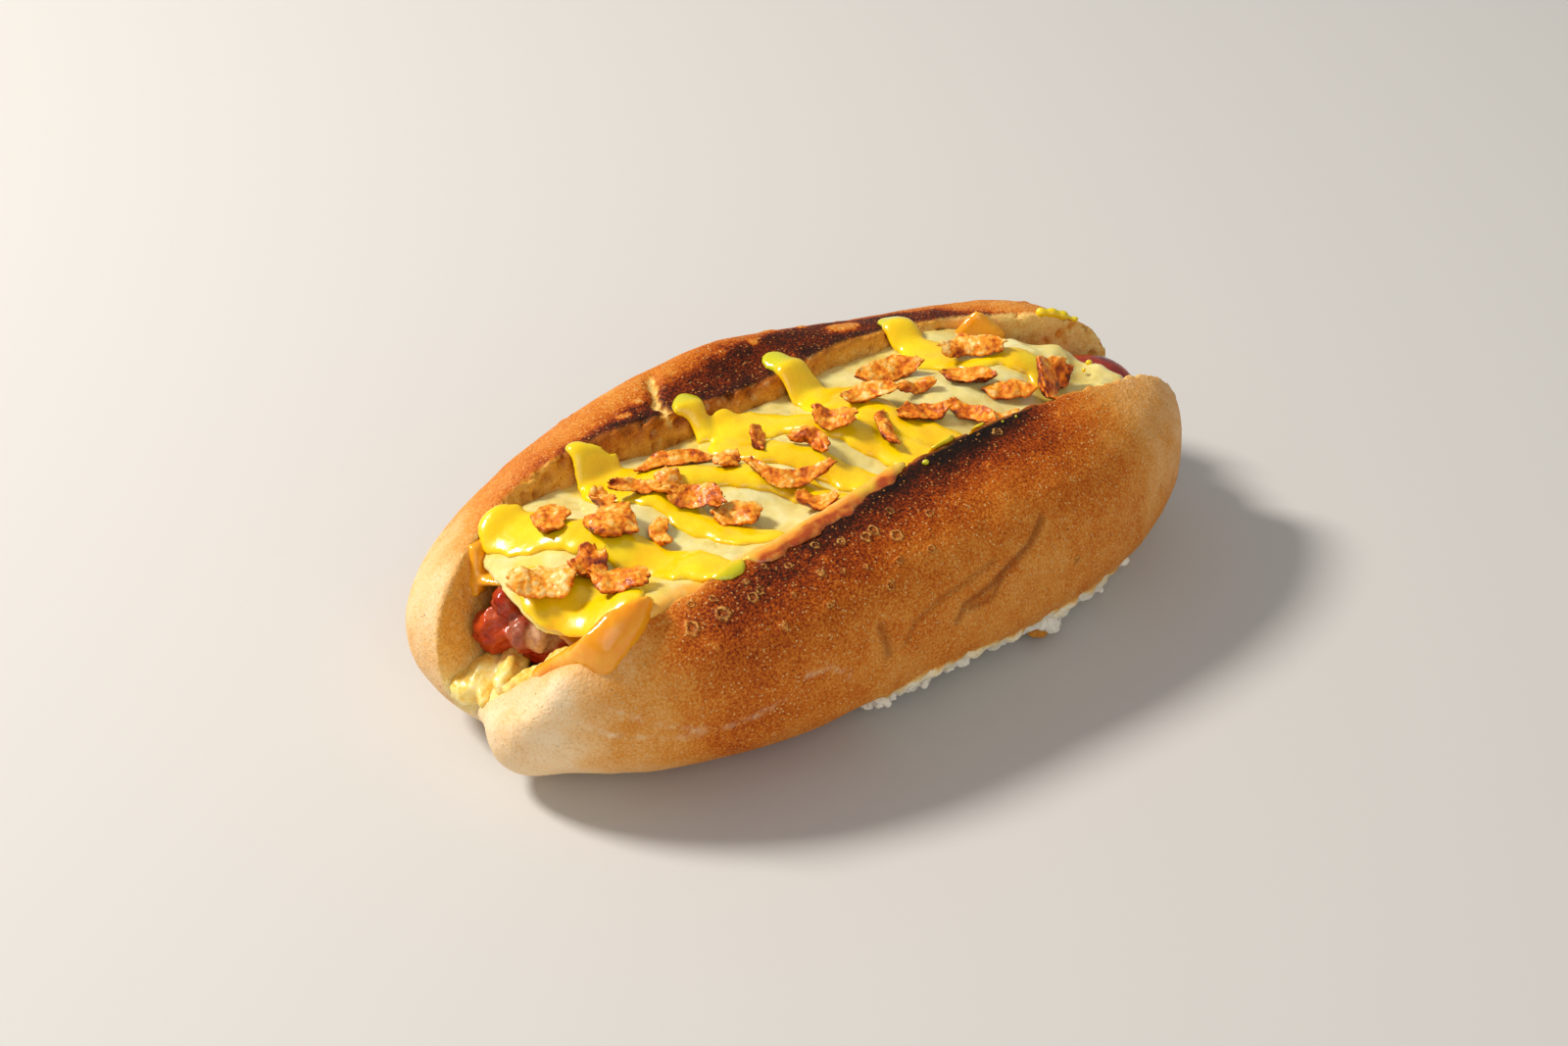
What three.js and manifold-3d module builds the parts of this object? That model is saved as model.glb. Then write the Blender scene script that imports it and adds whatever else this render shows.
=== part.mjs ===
// A cheese hot dog: an oval white roll, slit lengthways and opened like a boat, with a sausage along
// the slit, a slice of orange cheese and a blanket of pale melted cheese over it, mustard in a zigzag
// and crispy fried onions on top. Millimetres, +Z up, +X along the roll, the origin under its middle.
import * as THREE from "three";
import { mergeVertices } from "three/addons/utils/BufferGeometryUtils.js";
import Module from "manifold-3d";

const wasm = await Module();
wasm.setup();

// Driving dimensions
const ROLL_LENGTH = 190;
const ROLL_WIDTH = 105;
const ROLL_HEIGHT = 50;
const WIDEST_HEIGHT = 20; // where the roll is widest
const BASE_SINK = 2.5; // how much of the lower curve the flat base cuts off
const PLAN_POWER = 2.6; // how square the roll is in plan
const RISE_POWER = 3.2; // how square it is in side view
const CROWN_POWER = 3.0; // its section above the widest line
const BELLY_POWER = 2.2; // its section below that line
const FLOOR_HEIGHT = 11.5; // crumb left under the slit
const LIP_HEIGHT = 47;
const CUTTER_TOP = 60;
const SAUSAGE_RADIUS = 13.2;
const SAUSAGE_ENDS = [-80, 92.5];
const PALE_CHEESE_THICK = 3.0;
const SLICE_THICK = 1.9;
const MUSTARD_HEIGHT = 1.9;
const FLAKE_THICK = 1.5;
const GAP = 0.35; // between pieces that touch
const LAYER_GAP = 0.8; // between the two cheeses

// Where the slit's two lips run in plan, and how the crumb floor and the sausage wander: [x, value]
const FRONT_LIP = curveThrough([[-95, 23], [-80, 29], [-45, 29.5], [-15, 27], [0, 24.5], [30, 22.5], [60, 23], [95, 22]]);
const BACK_LIP = curveThrough([[-95, 14.5], [-82, 19.3], [-66, 23.3], [-50, 25.3], [2, 24.4], [17, 25.8], [30, 28], [48, 27], [62, 23.5], [72, 17.5], [84, 9.5], [95, 5]]);
const BACK_LIP_RISE = curveThrough([[-95, -4], [-80, -3], [-62, -0.5], [-40, 0], [-12, -2.6], [24, -3.6], [64, -3.6], [80, -0.5], [95, 1]]);
const BACK_SHOULDER_RISE = curveThrough([[-95, -6], [-80, -5.5], [-62, -3.6], [-48, -0.6], [-30, 3], [-12, 5.8], [4, 6.2], [24, 1.4], [45, -2.8], [66, -2.6], [84, 0.6], [95, 2]]);
const SLIT_CENTRE = curveThrough([[-95, 4], [-60, 1.5], [0, 1], [60, -2.5], [95, -8.5]]);
const FLOOR_SHARE = curveThrough([[-95, 0.04], [-82, 0.16], [-62, 0.45], [60, 0.5], [95, 0.7]]);
const WALL_POWER = curveThrough([[-95, 1.05], [-60, 0.72], [95, 0.7]]);

// The front lip's fall at the near end: where it runs in plan, and how high it is there
const NEAR_LIP = curveThrough([[-96, 3], [-90.9, 1.6], [-88.6, -4.7], [-86.4, -11.6], [-84, -15.4], [-81.3, -19.5], [-75.7, -25.4], [-67.6, -28.3]]);
const NEAR_HEIGHT = curveThrough([[-96, 9.5], [-90.9, 11.4], [-88.6, 18.6], [-86.4, 26], [-84, 29.6], [-81.3, 33.5], [-75.7, 39.9], [-67.6, 46.5]]);
const NEAR_SLOPE = 0.62;

// The tongue's two edges in plan, along its length
const TONGUE_OUTER = curveThrough([[0, -18], [0.08, -20.5], [0.14, -24.5], [0.2, -29], [0.3, -32], [0.42, -32.5], [0.65, -31.8], [0.85, -30], [1, -27.5]]);
const TONGUE_INNER = curveThrough([[0, -14], [0.3, -15], [0.6, -18], [1, -23]]);

function clamp(value, low, high) {
  return Math.min(high, Math.max(low, value));
}

function mix(a, b, share) {
  return a + (b - a) * share;
}

function ease(from, to, value) {
  const share = clamp((value - from) / (to - from), 0, 1);
  return share * share * (3 - 2 * share);
}

function signedPower(value, power) {
  return Math.sign(value) * Math.abs(value) ** power;
}

// A smooth function of x through a few [x, value] pairs, level past both ends.
function curveThrough(pairs) {
  const slope = pairs.map((pair, i) => {
    const before = pairs[Math.max(0, i - 1)];
    const after = pairs[Math.min(pairs.length - 1, i + 1)];
    return (after[1] - before[1]) / (after[0] - before[0]);
  });
  return (x) => {
    if (x <= pairs[0][0]) return pairs[0][1];
    if (x >= pairs.at(-1)[0]) return pairs.at(-1)[1];
    const i = pairs.findIndex((pair) => pair[0] > x) - 1;
    const [[x0, y0], [x1, y1]] = [pairs[i], pairs[i + 1]];
    const span = x1 - x0;
    const t = (x - x0) / span;
    return (
      y0 * (1 + 2 * t) * (1 - t) ** 2 +
      y1 * t * t * (3 - 2 * t) +
      span * (slope[i] * t * (1 - t) ** 2 - slope[i + 1] * t * t * (1 - t))
    );
  };
}

// Moves every vertex of a closed three.js geometry, and gives it back as a solid.
function warp(geometry, place) {
  const position = geometry.getAttribute("position");
  for (let i = 0; i < position.count; i++) {
    position.setXYZ(i, ...place(position.getX(i), position.getY(i), position.getZ(i)));
  }
  geometry.deleteAttribute("normal");
  geometry.deleteAttribute("uv");
  const merged = mergeVertices(geometry, 1e-4);
  const corners = [...merged.index.array];
  const kept = corners.filter((_, i) => {
    const [a, b, c] = corners.slice(i - (i % 3), i - (i % 3) + 3);
    return a !== b && b !== c && a !== c;
  });
  return new wasm.Manifold(
    new wasm.Mesh({
      numProp: 3,
      vertProperties: new Float32Array(merged.getAttribute("position").array),
      triVerts: new Uint32Array(kept),
    }),
  );
}

// The same with a unit sphere whose poles lie on X.
function warpSphere(around, along, place) {
  const sphere = new THREE.SphereGeometry(1, around, along).rotateZ(-Math.PI / 2);
  return warp(sphere, place);
}

// The largest piece of a solid, without the scraps that a cut leaves.
function largest(solid) {
  return solid.decompose().reduce((a, b) => (a.volume() > b.volume() ? a : b));
}

function cut(solid, ...cutters) {
  return largest(cutters.reduce((left, cutter) => left.subtract(cutter), solid));
}

function meshOf(name, solid, color, roughness) {
  const { vertProperties, triVerts } = solid.getMesh();
  const geometry = new THREE.BufferGeometry();
  geometry.setAttribute("position", new THREE.BufferAttribute(new Float32Array(vertProperties), 3));
  geometry.setIndex(new THREE.BufferAttribute(new Uint32Array(triVerts), 1));
  geometry.computeVertexNormals();
  const mesh = new THREE.Mesh(geometry, new THREE.MeshStandardMaterial({ color, roughness, metalness: 0 }));
  mesh.name = name;
  return mesh;
}

// The roll's outer form
function planShare(x) {
  return (1 - clamp(Math.abs((2 * x) / ROLL_LENGTH), 0, 1) ** PLAN_POWER) ** (1 / PLAN_POWER);
}

function riseShare(x) {
  return (1 - clamp(Math.abs((2 * x) / ROLL_LENGTH), 0, 1) ** RISE_POWER) ** (1 / RISE_POWER);
}

// Crumb left standing where the roll was pulled off its neighbours, low along both long sides: how far
// it stands out of the crust, or lies behind it where a piece came away.
function tornCrumb(x, y, z) {
  const [middle, half, out] = y < 0 ? [6, 60, 0.6 + 5.1 * ease(18, 34, x)] : [-8, 44, 2.4];
  const along = Math.max(0, 1 - Math.abs((x - middle) / half) ** 4);
  const upward = Math.exp(-(((z - 5.5) / 3.4) ** 2));
  const ragged = 0.6 + 0.3 * Math.sin(x * 0.43) + 0.2 * Math.sin(x * 0.97 + 1);
  const lost = y < 0 ? 8 * Math.exp(-(((x + 8) / 17) ** 2)) * ease(16, 7, z) : 0;
  return out * along * upward * ragged - lost;
}

// How much the crown rises over an even oval: the back half sinks a little at the lip, its shoulder is
// fuller before the middle, and it lies lower towards both ends.
function crownRise(x, side) {
  if (side <= 0) return 0;
  return mix(BACK_LIP_RISE(x) * ease(0, 0.4, side), BACK_SHOULDER_RISE(x), ease(0.5, 0.86, side));
}

// Where the two halves part at the near end, the roll is pinched in; both halves bulge beside that. At
// the far end only the front half bulges.
function pinch(x, y) {
  const dent = 3.2 * Math.exp(-(((y + 4) / 8) ** 2));
  const backBulge = 2.4 * Math.exp(-(((y - 24) / 12) ** 2));
  const frontBulge = 2.4 * Math.exp(-(((y + 22) / 10) ** 2));
  const farBulge = 2 * Math.exp(-(((y + 24) / 13) ** 2));
  return (dent - backBulge - frontBulge) * ease(-70, -92, x) + farBulge * ease(55, 88, x);
}

function rollForm(grow) {
  return warpSphere(34, 28, (dx, dy, dz) => {
    const turn = Math.atan2(dz, dy);
    const power = dz > 0 ? CROWN_POWER : BELLY_POWER;
    const across = signedPower(Math.cos(turn), 2 / power);
    const upward = signedPower(Math.sin(turn), 2 / power);
    const along = clamp(dx, -1, 1);
    const x = (ROLL_LENGTH / 2) * along;
    const half = dz > 0 ? ROLL_HEIGHT - WIDEST_HEIGHT : WIDEST_HEIGHT + BASE_SINK;
    const rise = dz > 0 ? upward * crownRise(x, across) : 0;
    const z = Math.max(WIDEST_HEIGHT + (half + grow) * riseShare(x) * upward + rise, -grow);
    const torn = z > 0.5 && z < 14 ? tornCrumb(x, across, z) * Math.sign(across) : 0;
    const y = (ROLL_WIDTH / 2 + grow) * planShare(x) * across + torn;
    return [x + grow * along + pinch(x, y), y, z];
  });
}

// Height of the roll's top at a point in plan, with the slit not cut.
function crownHeight(x, y) {
  const side = clamp(y / ((ROLL_WIDTH / 2) * planShare(x) + 0.01), -1, 1);
  const arch = (1 - Math.abs(side) ** CROWN_POWER) ** (1 / CROWN_POWER);
  return WIDEST_HEIGHT + arch * ((ROLL_HEIGHT - WIDEST_HEIGHT) * riseShare(x) + crownRise(x, side));
}

// The slit
function wallPlace(side, x, z) {
  const depth = clamp((z - FLOOR_HEIGHT) / (LIP_HEIGHT - FLOOR_HEIGHT), 0, 1.25);
  const open = mix(FLOOR_SHARE(x), 1, depth ** WALL_POWER(x));
  const lip = side < 0 ? -FRONT_LIP(x) : BACK_LIP(x);
  return mix(SLIT_CENTRE(x), lip, open);
}

// Height of the slit's front wall at a point in plan.
function wallHeight(x, y) {
  const open = (y - SLIT_CENTRE(x)) / (-FRONT_LIP(x) - SLIT_CENTRE(x));
  const share = FLOOR_SHARE(x);
  const depth = Math.max(0, (open - share) / (1 - share)) ** (1 / WALL_POWER(x));
  return FLOOR_HEIGHT + (LIP_HEIGHT - FLOOR_HEIGHT) * depth;
}

// The slit's floor, with the soft lump of crumb where the two halves hang together at the near end.
function floorHeight(x, across) {
  const lump = 6.5 * Math.exp(-(((x + 87) / 6.5) ** 2)) * (1 - 0.5 * across * across);
  return FLOOR_HEIGHT + lump;
}

function slitCutter(inset) {
  const box = new THREE.BoxGeometry(2, 2, 1, 30, 6, 6);
  return warp(box, (bx, by, bz) => {
    const x = (ROLL_LENGTH / 2 + 4) * bx;
    const share = bz + 0.5;
    const corner = 2.5 * by ** 4 * (1 - share);
    const z = mix(floorHeight(x, by) + inset, CUTTER_TOP, share ** 1.3) + corner;
    const front = wallPlace(-1, x, z) + inset;
    const back = wallPlace(1, x, z) - inset;
    return [x, mix(front, back, (by + 1) / 2), z];
  });
}

// Height of the sloping top of the front half at the near end.
function nearHeight(x, y) {
  return NEAR_HEIGHT(x) + NEAR_SLOPE * Math.max(0, NEAR_LIP(x) - y);
}

function nearCutter(inset) {
  const box = new THREE.BoxGeometry(2, 2, 1, 10, 8, 1);
  return warp(box, (bx, by, bz) => {
    const x = mix(-100, -68 - inset, (bx + 1) / 2);
    const y = mix(-44, NEAR_LIP(x) + 3 - inset, (by + 1) / 2);
    return [x, y, bz > 0 ? CUTTER_TOP : nearHeight(x, y) + 1.2 * inset];
  });
}

// The sausage, with a puckered near end where its casing is tied
function sausageCentre(x) {
  return SLIT_CENTRE(x) * 0.8 + 0.6;
}

function sausageForm(grow) {
  const [near, far] = SAUSAGE_ENDS;
  const middle = (near + far) / 2;
  const half = (far - near) / 2;
  const axis = (x) => FLOOR_HEIGHT + GAP + SAUSAGE_RADIUS - 1.0 * ease(50, 90, x);
  const body = warpSphere(16, 22, (dx, dy, dz) => {
    const turn = Math.atan2(dz, dy);
    const end = clamp(Math.abs(dx), 0, 1);
    const pucker = 1 - 0.07 * ease(-0.86, -0.97, dx) * (1 + Math.cos(6 * turn));
    const radius = SAUSAGE_RADIUS * (1 - end ** (dx > 0 ? 14 : 10)) ** 0.46 * pucker;
    const x = middle + (half + grow) * dx;
    const swell = end < 1 ? radius + grow : 0;
    return [x, sausageCentre(x) + swell * Math.cos(turn), axis(x) + swell * Math.sin(turn)];
  });
  const knot = warpSphere(8, 6, (dx, dy, dz) => [
    near - 1 + (4.6 + grow) * dx,
    7 + (4.4 + grow) * dy,
    FLOOR_HEIGHT + SAUSAGE_RADIUS + 0.5 + (4.8 + grow) * dz,
  ]);
  return body.add(knot);
}

// The top of the pale cheese: it hangs over the sausage, meets the front lip nearly flush and lies
// lower along the back wall. It sinks at both ends.
function cheeseTop(x, y) {
  const off = y - sausageCentre(x);
  const hump = 3.6 * Math.exp(-((off / 12) ** 2));
  const flush = 4.2 * ease(-12, -28, y) * ease(18, -22, x) * ease(-84, -66, x);
  const ends = 4.2 * ease(-62, -82, x) + 5.2 * ease(52, 86, x);
  const folds = 0.5 * Math.sin(x * 0.21 + y * 0.13) + 0.4 * Math.sin(x * 0.11 - y * 0.27 + 1.4);
  return 40.6 + hump + flush - ends + folds;
}

function lumps(x, y) {
  return 1.1 * ease(60, 72, x) * Math.sin(x * 0.45 + 0.7) * Math.cos(y * 0.35 + 0.5);
}

// A layer draped across the slit, between two depths under the pale cheese's top. All layers share
// one grid of stations, so that they stay parallel; each ends at its own line in plan.
function layer(nearEnd, farEnd, top, bottom) {
  const box = new THREE.BoxGeometry(2, 2, 1, 26, 7, 1);
  return warp(box, (bx, by, bz) => {
    const x = clamp(90 * bx, nearEnd(by), farEnd(by));
    const front = wallPlace(-1, x, 44) - 1.4;
    const back = wallPlace(1, x, 40) + 1.2;
    const y = mix(front, back, (by + 1) / 2);
    return [x, y, cheeseTop(x, y) - (bz > 0 ? top(x, y) : bottom(x, y))];
  });
}

function paleBlanket() {
  const nearEnd = (by) => -81 + (by < 0 ? 15 * by * by : 5 * by * by);
  const farEnd = (by) => 79 - 4 * by - by * by + Math.sin(7 * by);
  return layer(nearEnd, farEnd, (x, y) => -lumps(x, y), () => PALE_CHEESE_THICK);
}

function orangeSlice() {
  const nearEnd = (by) => -76 + (by > 0 ? -8 * by * by : 3 * by * by);
  const droop = (x, y) => 3 * ease(-62, -76, x) * ease(2, -14, y);
  const above = (x, y) => PALE_CHEESE_THICK + LAYER_GAP + droop(x, y);
  return layer(nearEnd, (by) => 75 - 2 * by, above, (x, y) => above(x, y) + SLICE_THICK);
}

// The tongue of orange cheese at the near end, which has run up the wall and over the front lip.
function cheeseTongue(grow) {
  const box = new THREE.BoxGeometry(2, 2, 1, 9, 9, 1);
  return warp(box, (bx, by, bz) => {
    const along = (bx + 1) / 2;
    const x = mix(-85.5 - grow, -62 + grow, along);
    const y = mix(TONGUE_OUTER(along) - grow, TONGUE_INNER(along) + grow, (by + 1) / 2);
    const ground = Math.min(crownHeight(x, y), wallHeight(x, y), nearHeight(x, y));
    const rim = 1 - Math.max(Math.abs(bx), Math.abs(by)) ** 4;
    const fat = (1.5 + 2 * ease(-24, -30, y)) * (0.3 + 0.7 * Math.sqrt(rim));
    return [x, y, ground + (bz > 0 ? fat + GAP + grow : -5)];
  });
}

// A corner of the orange slice that stands up against the back wall at the far end.
function sliceCorner(grow) {
  return warpSphere(8, 8, (dx, dy, dz) => {
    const x = 64 + (6.5 + grow) * dx;
    const y = wallPlace(1, x, 40) - 3 + (2 + grow) * dy;
    return [x, y, 38.5 + (7 + grow) * dz * (1 - 0.4 * Math.abs(dx))];
  });
}

// Mustard: each run is a row of [x, y, half width] in plan, from the back lip towards the front one.
const MUSTARD_RUNS = [
  [[-72, 23.5, 3.2], [-70, 16, 7.4], [-66, 9, 5.6], [-60, 0, 4.2], [-54, -10, 3.8], [-50, -18, 3.9], [-46, -28, 3.4], [-44.5, -32, 2.6]],
  [[-72, 7, 2.8], [-78, 4, 3.4], [-81, -3, 3.6], [-78, -11, 4.6], [-71, -18, 4.8], [-62, -24, 3.6]],
  [[-74, -6, 2.6], [-67, -12, 3.4], [-60, -17, 3.0]],
  [[-46.5, 28.5, 3.0], [-45, 23, 5.2], [-41, 19, 3.6], [-36, 12, 2.6], [-30, 5, 2.3], [-20, -2, 2.3], [-12, -11, 2.6], [-7, -25, 2.6]],
  [[-47, 22, 3.2], [-45, 12, 2.8], [-40, 3, 2.4], [-37, -9, 2.6], [-32, -18, 3.0], [-26, -25, 2.4]],
  [[-17.5, 28.5, 2.6], [-15.5, 25.5, 3.2], [-14.5, 22, 2.3], [-16, 18, 2.6]],
  [[-17, 20, 2.6], [-10, 19, 3.0], [-2, 13, 2.6], [5, 4, 2.4], [10, -4, 2.4], [14, -14, 2.6], [17, -24.5, 2.2]],
  [[-18, 19, 2.4], [-15, 11, 2.6], [-10, 3, 2.4], [-4, -5, 2.4], [0, -13, 2.6], [5, -24, 2.4]],
  [[11, 33, 3.0], [13.5, 28.5, 4.2], [14, 20, 4.6], [15, 11, 3.2], [18, 3, 2.6], [21, -6, 2.5], [27, -16, 2.6], [30, -24, 2.0]],
  [[5, 5, 2.0], [11, -4, 2.2], [16, -12, 2.4], [21, -24, 2.0]],
  [[45.5, 33, 2.8], [47, 28, 3.6], [45, 15, 3.4], [50, 6, 3.0], [57, 1, 2.6], [61, -6, 2.2], [58, -13, 2.0]],
];

// What the mustard lies on: the crown outside the lips, the cheese inside, and a slope up each wall.
function mustardGround(x, y) {
  const inFront = ease(-0.5, 2.5, y + FRONT_LIP(x));
  const inBack = ease(-0.5, 6.5, BACK_LIP(x) - y);
  return mix(crownHeight(x, y), cheeseTop(x, y), Math.min(inFront, inBack));
}

function mustardRun(points) {
  const path = new THREE.CatmullRomCurve3(points.map(([x, y]) => new THREE.Vector3(x, y, 0)));
  const widths = new THREE.CatmullRomCurve3(points.map((point) => new THREE.Vector3(point[2], 0, 0)));
  const rings = Math.max(6, Math.round(path.getLength() / 4.2));
  return warpSphere(6, rings, (dx, dy, dz) => {
    const share = clamp(Math.asin(clamp(dx, -1, 1)) / Math.PI + 0.5, 0, 1);
    const t = path.getUtoTmapping(share);
    const centre = path.getPoint(t);
    const tangent = path.getTangent(t);
    const turn = Math.atan2(dz, dy);
    const round = (1 - Math.abs(2 * share - 1) ** 8) ** 0.5;
    const offset = widths.getPoint(t).x * round * Math.cos(turn);
    const x = centre.x - tangent.y * offset;
    const y = centre.y + tangent.x * offset;
    const up = Math.sin(turn) > 0 ? MUSTARD_HEIGHT : 1.3;
    return [x, y, mustardGround(x, y) + up * round * Math.sin(turn)];
  });
}

// How far the mustard's top stands over what it lies on.
function mustardOver(x, y) {
  let most = 0;
  for (const run of MUSTARD_RUNS) {
    for (let i = 0; i + 1 < run.length; i++) {
      const [[x0, y0, w0], [x1, y1, w1]] = [run[i], run[i + 1]];
      const along = ((x - x0) * (x1 - x0) + (y - y0) * (y1 - y0)) / ((x1 - x0) ** 2 + (y1 - y0) ** 2);
      const share = clamp(along, 0, 1);
      const away = Math.hypot(x - mix(x0, x1, share), y - mix(y0, y1, share));
      const reach = mix(w0, w1, share) + 0.8;
      most = Math.max(most, MUSTARD_HEIGHT * Math.sqrt(Math.max(0, 1 - (away / reach) ** 2)));
    }
  }
  return most;
}

// Crispy onions: where each lies in plan, its length and width, which way it points, how far it leans
// on its edge, how much it bows up along its length, and how much it bends sideways.
const FLAKES = [
  { x: -64, y: 8.5, long: 9, wide: 7, turn: 40, lean: 0, bow: 1.5, bend: 0 },
  { x: -55, y: -1, long: 11, wide: 10, turn: 20, lean: 0, bow: 1.8, bend: 0 },
  { x: -50.5, y: 9, long: 8, wide: 4.5, turn: 70, lean: 10, bow: 1.0, bend: 0 },
  { x: -76.5, y: -6.5, long: 13, wide: 9.5, turn: -25, lean: 0, bow: 1.6, bend: 0 },
  { x: -66, y: -7.5, long: 9, wide: 7, turn: 30, lean: 20, bow: 1.4, bend: 0 },
  { x: -64.5, y: -17.5, long: 12, wide: 7.5, turn: -45, lean: 0, bow: 1.5, bend: 0 },
  { x: -46, y: -7.5, long: 9, wide: 4, turn: 62, lean: 0, bow: 0.8, bend: 1 },
  { x: -29, y: 11.5, long: 17, wide: 3.8, turn: -22, lean: 25, bow: 1.0, bend: 1.5 },
  { x: -21, y: 3.5, long: 6.5, wide: 5.5, turn: 20, lean: 0, bow: 1.0, bend: 0 },
  { x: -43.5, y: 6.5, long: 11, wide: 3.2, turn: -36, lean: 30, bow: 0.5, bend: 0 },
  { x: -37, y: 3, long: 9, wide: 6.5, turn: 55, lean: 15, bow: 1.4, bend: 0 },
  { x: -35.5, y: -5, long: 12, wide: 6, turn: -52, lean: 25, bow: 1.8, bend: 1.6 },
  { x: -30, y: -12, long: 10, wide: 8, turn: -30, lean: 0, bow: 1.2, bend: 0 },
  { x: -10, y: 6.5, long: 9, wide: 4, turn: 58, lean: 35, bow: 1.2, bend: 1 },
  { x: -12, y: -7.5, long: 18, wide: 4.2, turn: -40, lean: 40, bow: 1.0, bend: -4.5 },
  { x: -2.5, y: -2.5, long: 10, wide: 4.2, turn: -70, lean: 35, bow: 1.4, bend: 1.5 },
  { x: -14, y: -19.5, long: 9, wide: 4.6, turn: -38, lean: 0, bow: 1.0, bend: 0 },
  { x: 6.5, y: 0, long: 9.5, wide: 6.5, turn: -50, lean: 10, bow: 1.8, bend: 0 },
  { x: 19.5, y: 4, long: 13, wide: 5, turn: -20, lean: 10, bow: 1.5, bend: 1 },
  { x: 15.5, y: -8, long: 13, wide: 4, turn: 66, lean: 30, bow: 1.5, bend: 1.5 },
  { x: 31.5, y: 12, long: 16, wide: 6.5, turn: -14, lean: 20, bow: 2.2, bend: 0 },
  { x: 26.5, y: -6.5, long: 12, wide: 4.6, turn: -20, lean: 15, bow: 1.5, bend: 0 },
  { x: 31.5, y: 2, long: 9, wide: 3.4, turn: -18, lean: 25, bow: 1.0, bend: 0 },
  { x: 35.5, y: -13, long: 13, wide: 4.2, turn: -75, lean: 20, bow: 1.2, bend: 1.5 },
  { x: 51, y: 5, long: 15, wide: 6, turn: -30, lean: 20, bow: 2.0, bend: 1.5 },
  { x: 43.5, y: -2.5, long: 12, wide: 5.4, turn: -42, lean: 0, bow: 1.6, bend: 0 },
  { x: 49, y: -10.5, long: 12, wide: 5.4, turn: -34, lean: 15, bow: 1.4, bend: 0 },
  { x: 60, y: -13, long: 13, wide: 8.5, turn: 25, lean: 55, bow: 2.4, bend: 1.5 },
  { x: 41.5, y: -16.5, long: 8, wide: 5, turn: -30, lean: 0, bow: 1.2, bend: 0 },
];

function flake(shape, seed, grow) {
  const turn = THREE.MathUtils.degToRad(shape.turn);
  const lean = THREE.MathUtils.degToRad(shape.lean);
  const at = (s, w, h) => {
    const taper = Math.sqrt(Math.max(0.12, 1 - Math.abs(2 * s) ** 3));
    const ragged = 1 + 0.16 * Math.sin(9 * s + seed * 2.1) * Math.sign(w || 1);
    const across = (shape.wide + 2 * grow) * w * taper * ragged + shape.bend * (1 - 4 * s * s);
    const along = (shape.long + 2 * grow) * s;
    const up = h + shape.bow * (4 * s * s - 0.5) + 0.5 * Math.sin(7 * s + seed);
    const y = across * Math.cos(lean) - up * Math.sin(lean);
    const z = across * Math.sin(lean) + up * Math.cos(lean);
    return [shape.x + along * Math.cos(turn) - y * Math.sin(turn), shape.y + along * Math.sin(turn) + y * Math.cos(turn), z];
  };
  let lift = -Infinity;
  for (let s = -0.5; s <= 0.501; s += 0.05) {
    for (let w = -0.5; w <= 0.501; w += 0.1) {
      for (const h of [0, FLAKE_THICK]) {
        const [x, y, z] = at(s, w, h);
        lift = Math.max(lift, mustardGround(x, y) + mustardOver(x, y) - z);
      }
    }
  }
  return warp(new THREE.BoxGeometry(1, 1, 1, 5, 2, 1), (s, w, h) => {
    const [x, y, z] = at(s, w, (h + 0.5) * FLAKE_THICK + 2 * h * grow);
    return [x, y, z + lift + GAP];
  });
}

// The solids, cut clear of each other
const rollGrown = rollForm(GAP).subtract(slitCutter(GAP)).subtract(nearCutter(GAP));
const sausageGrown = sausageForm(GAP);
const orangeRuns = (grow) => cheeseTongue(grow).add(sliceCorner(grow));

const roll = cut(rollForm(0), slitCutter(0), nearCutter(0), sausageGrown);
const orange = cut(orangeSlice().add(orangeRuns(0)), rollGrown, sausageGrown);
const pale = cut(
  MUSTARD_RUNS.map(mustardRun).reduce((all, run) => all.add(run), paleBlanket()),
  rollGrown,
  sausageGrown,
  orangeRuns(GAP),
);

const hotDog = new THREE.Group();
hotDog.add(
  meshOf("bun", roll, 0xc9843f, 0.75),
  meshOf("sausage", sausageForm(0), 0x7a1f10, 0.3),
  meshOf("orange_cheese", orange, 0xf5a623, 0.35),
  meshOf("pale_cheese", pale, 0xe9dc8c, 0.35),
);
const laid = [];
FLAKES.forEach((shape, i) => {
  const piece = laid.length ? cut(flake(shape, i, 0), rollGrown, ...laid) : flake(shape, i, 0);
  laid.push(flake(shape, i, GAP));
  hotDog.add(meshOf(`crispy_onion_${String(i + 1).padStart(2, "0")}`, piece, 0xc77a2b, 0.6));
});

export default hotDog;
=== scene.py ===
import math

import bpy
import numpy as np
from mathutils import Euler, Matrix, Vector


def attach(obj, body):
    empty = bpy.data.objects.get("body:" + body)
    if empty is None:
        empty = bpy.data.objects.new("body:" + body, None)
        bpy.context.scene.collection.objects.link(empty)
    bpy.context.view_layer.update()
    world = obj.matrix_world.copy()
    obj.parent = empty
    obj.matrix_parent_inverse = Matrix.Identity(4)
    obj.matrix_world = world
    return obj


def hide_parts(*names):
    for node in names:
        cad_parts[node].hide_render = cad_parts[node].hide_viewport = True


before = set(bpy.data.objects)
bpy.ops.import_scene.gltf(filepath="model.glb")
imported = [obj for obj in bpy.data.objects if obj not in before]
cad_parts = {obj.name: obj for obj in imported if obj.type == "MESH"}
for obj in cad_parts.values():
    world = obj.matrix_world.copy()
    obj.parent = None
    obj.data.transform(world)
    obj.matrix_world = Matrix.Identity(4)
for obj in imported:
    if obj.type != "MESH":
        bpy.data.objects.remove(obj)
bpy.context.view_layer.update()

# Measures of the solids
LENGTH, WIDTH, HEIGHT, WIDEST, SINK = 190.0, 105.0, 50.0, 20.0, 2.5
PLAN_POWER, RISE_POWER, CROWN_POWER, BELLY_POWER = 2.6, 3.2, 3.0, 2.2
FLOOR, LIP, TOP = 11.5, 47.0, 60.0
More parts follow.
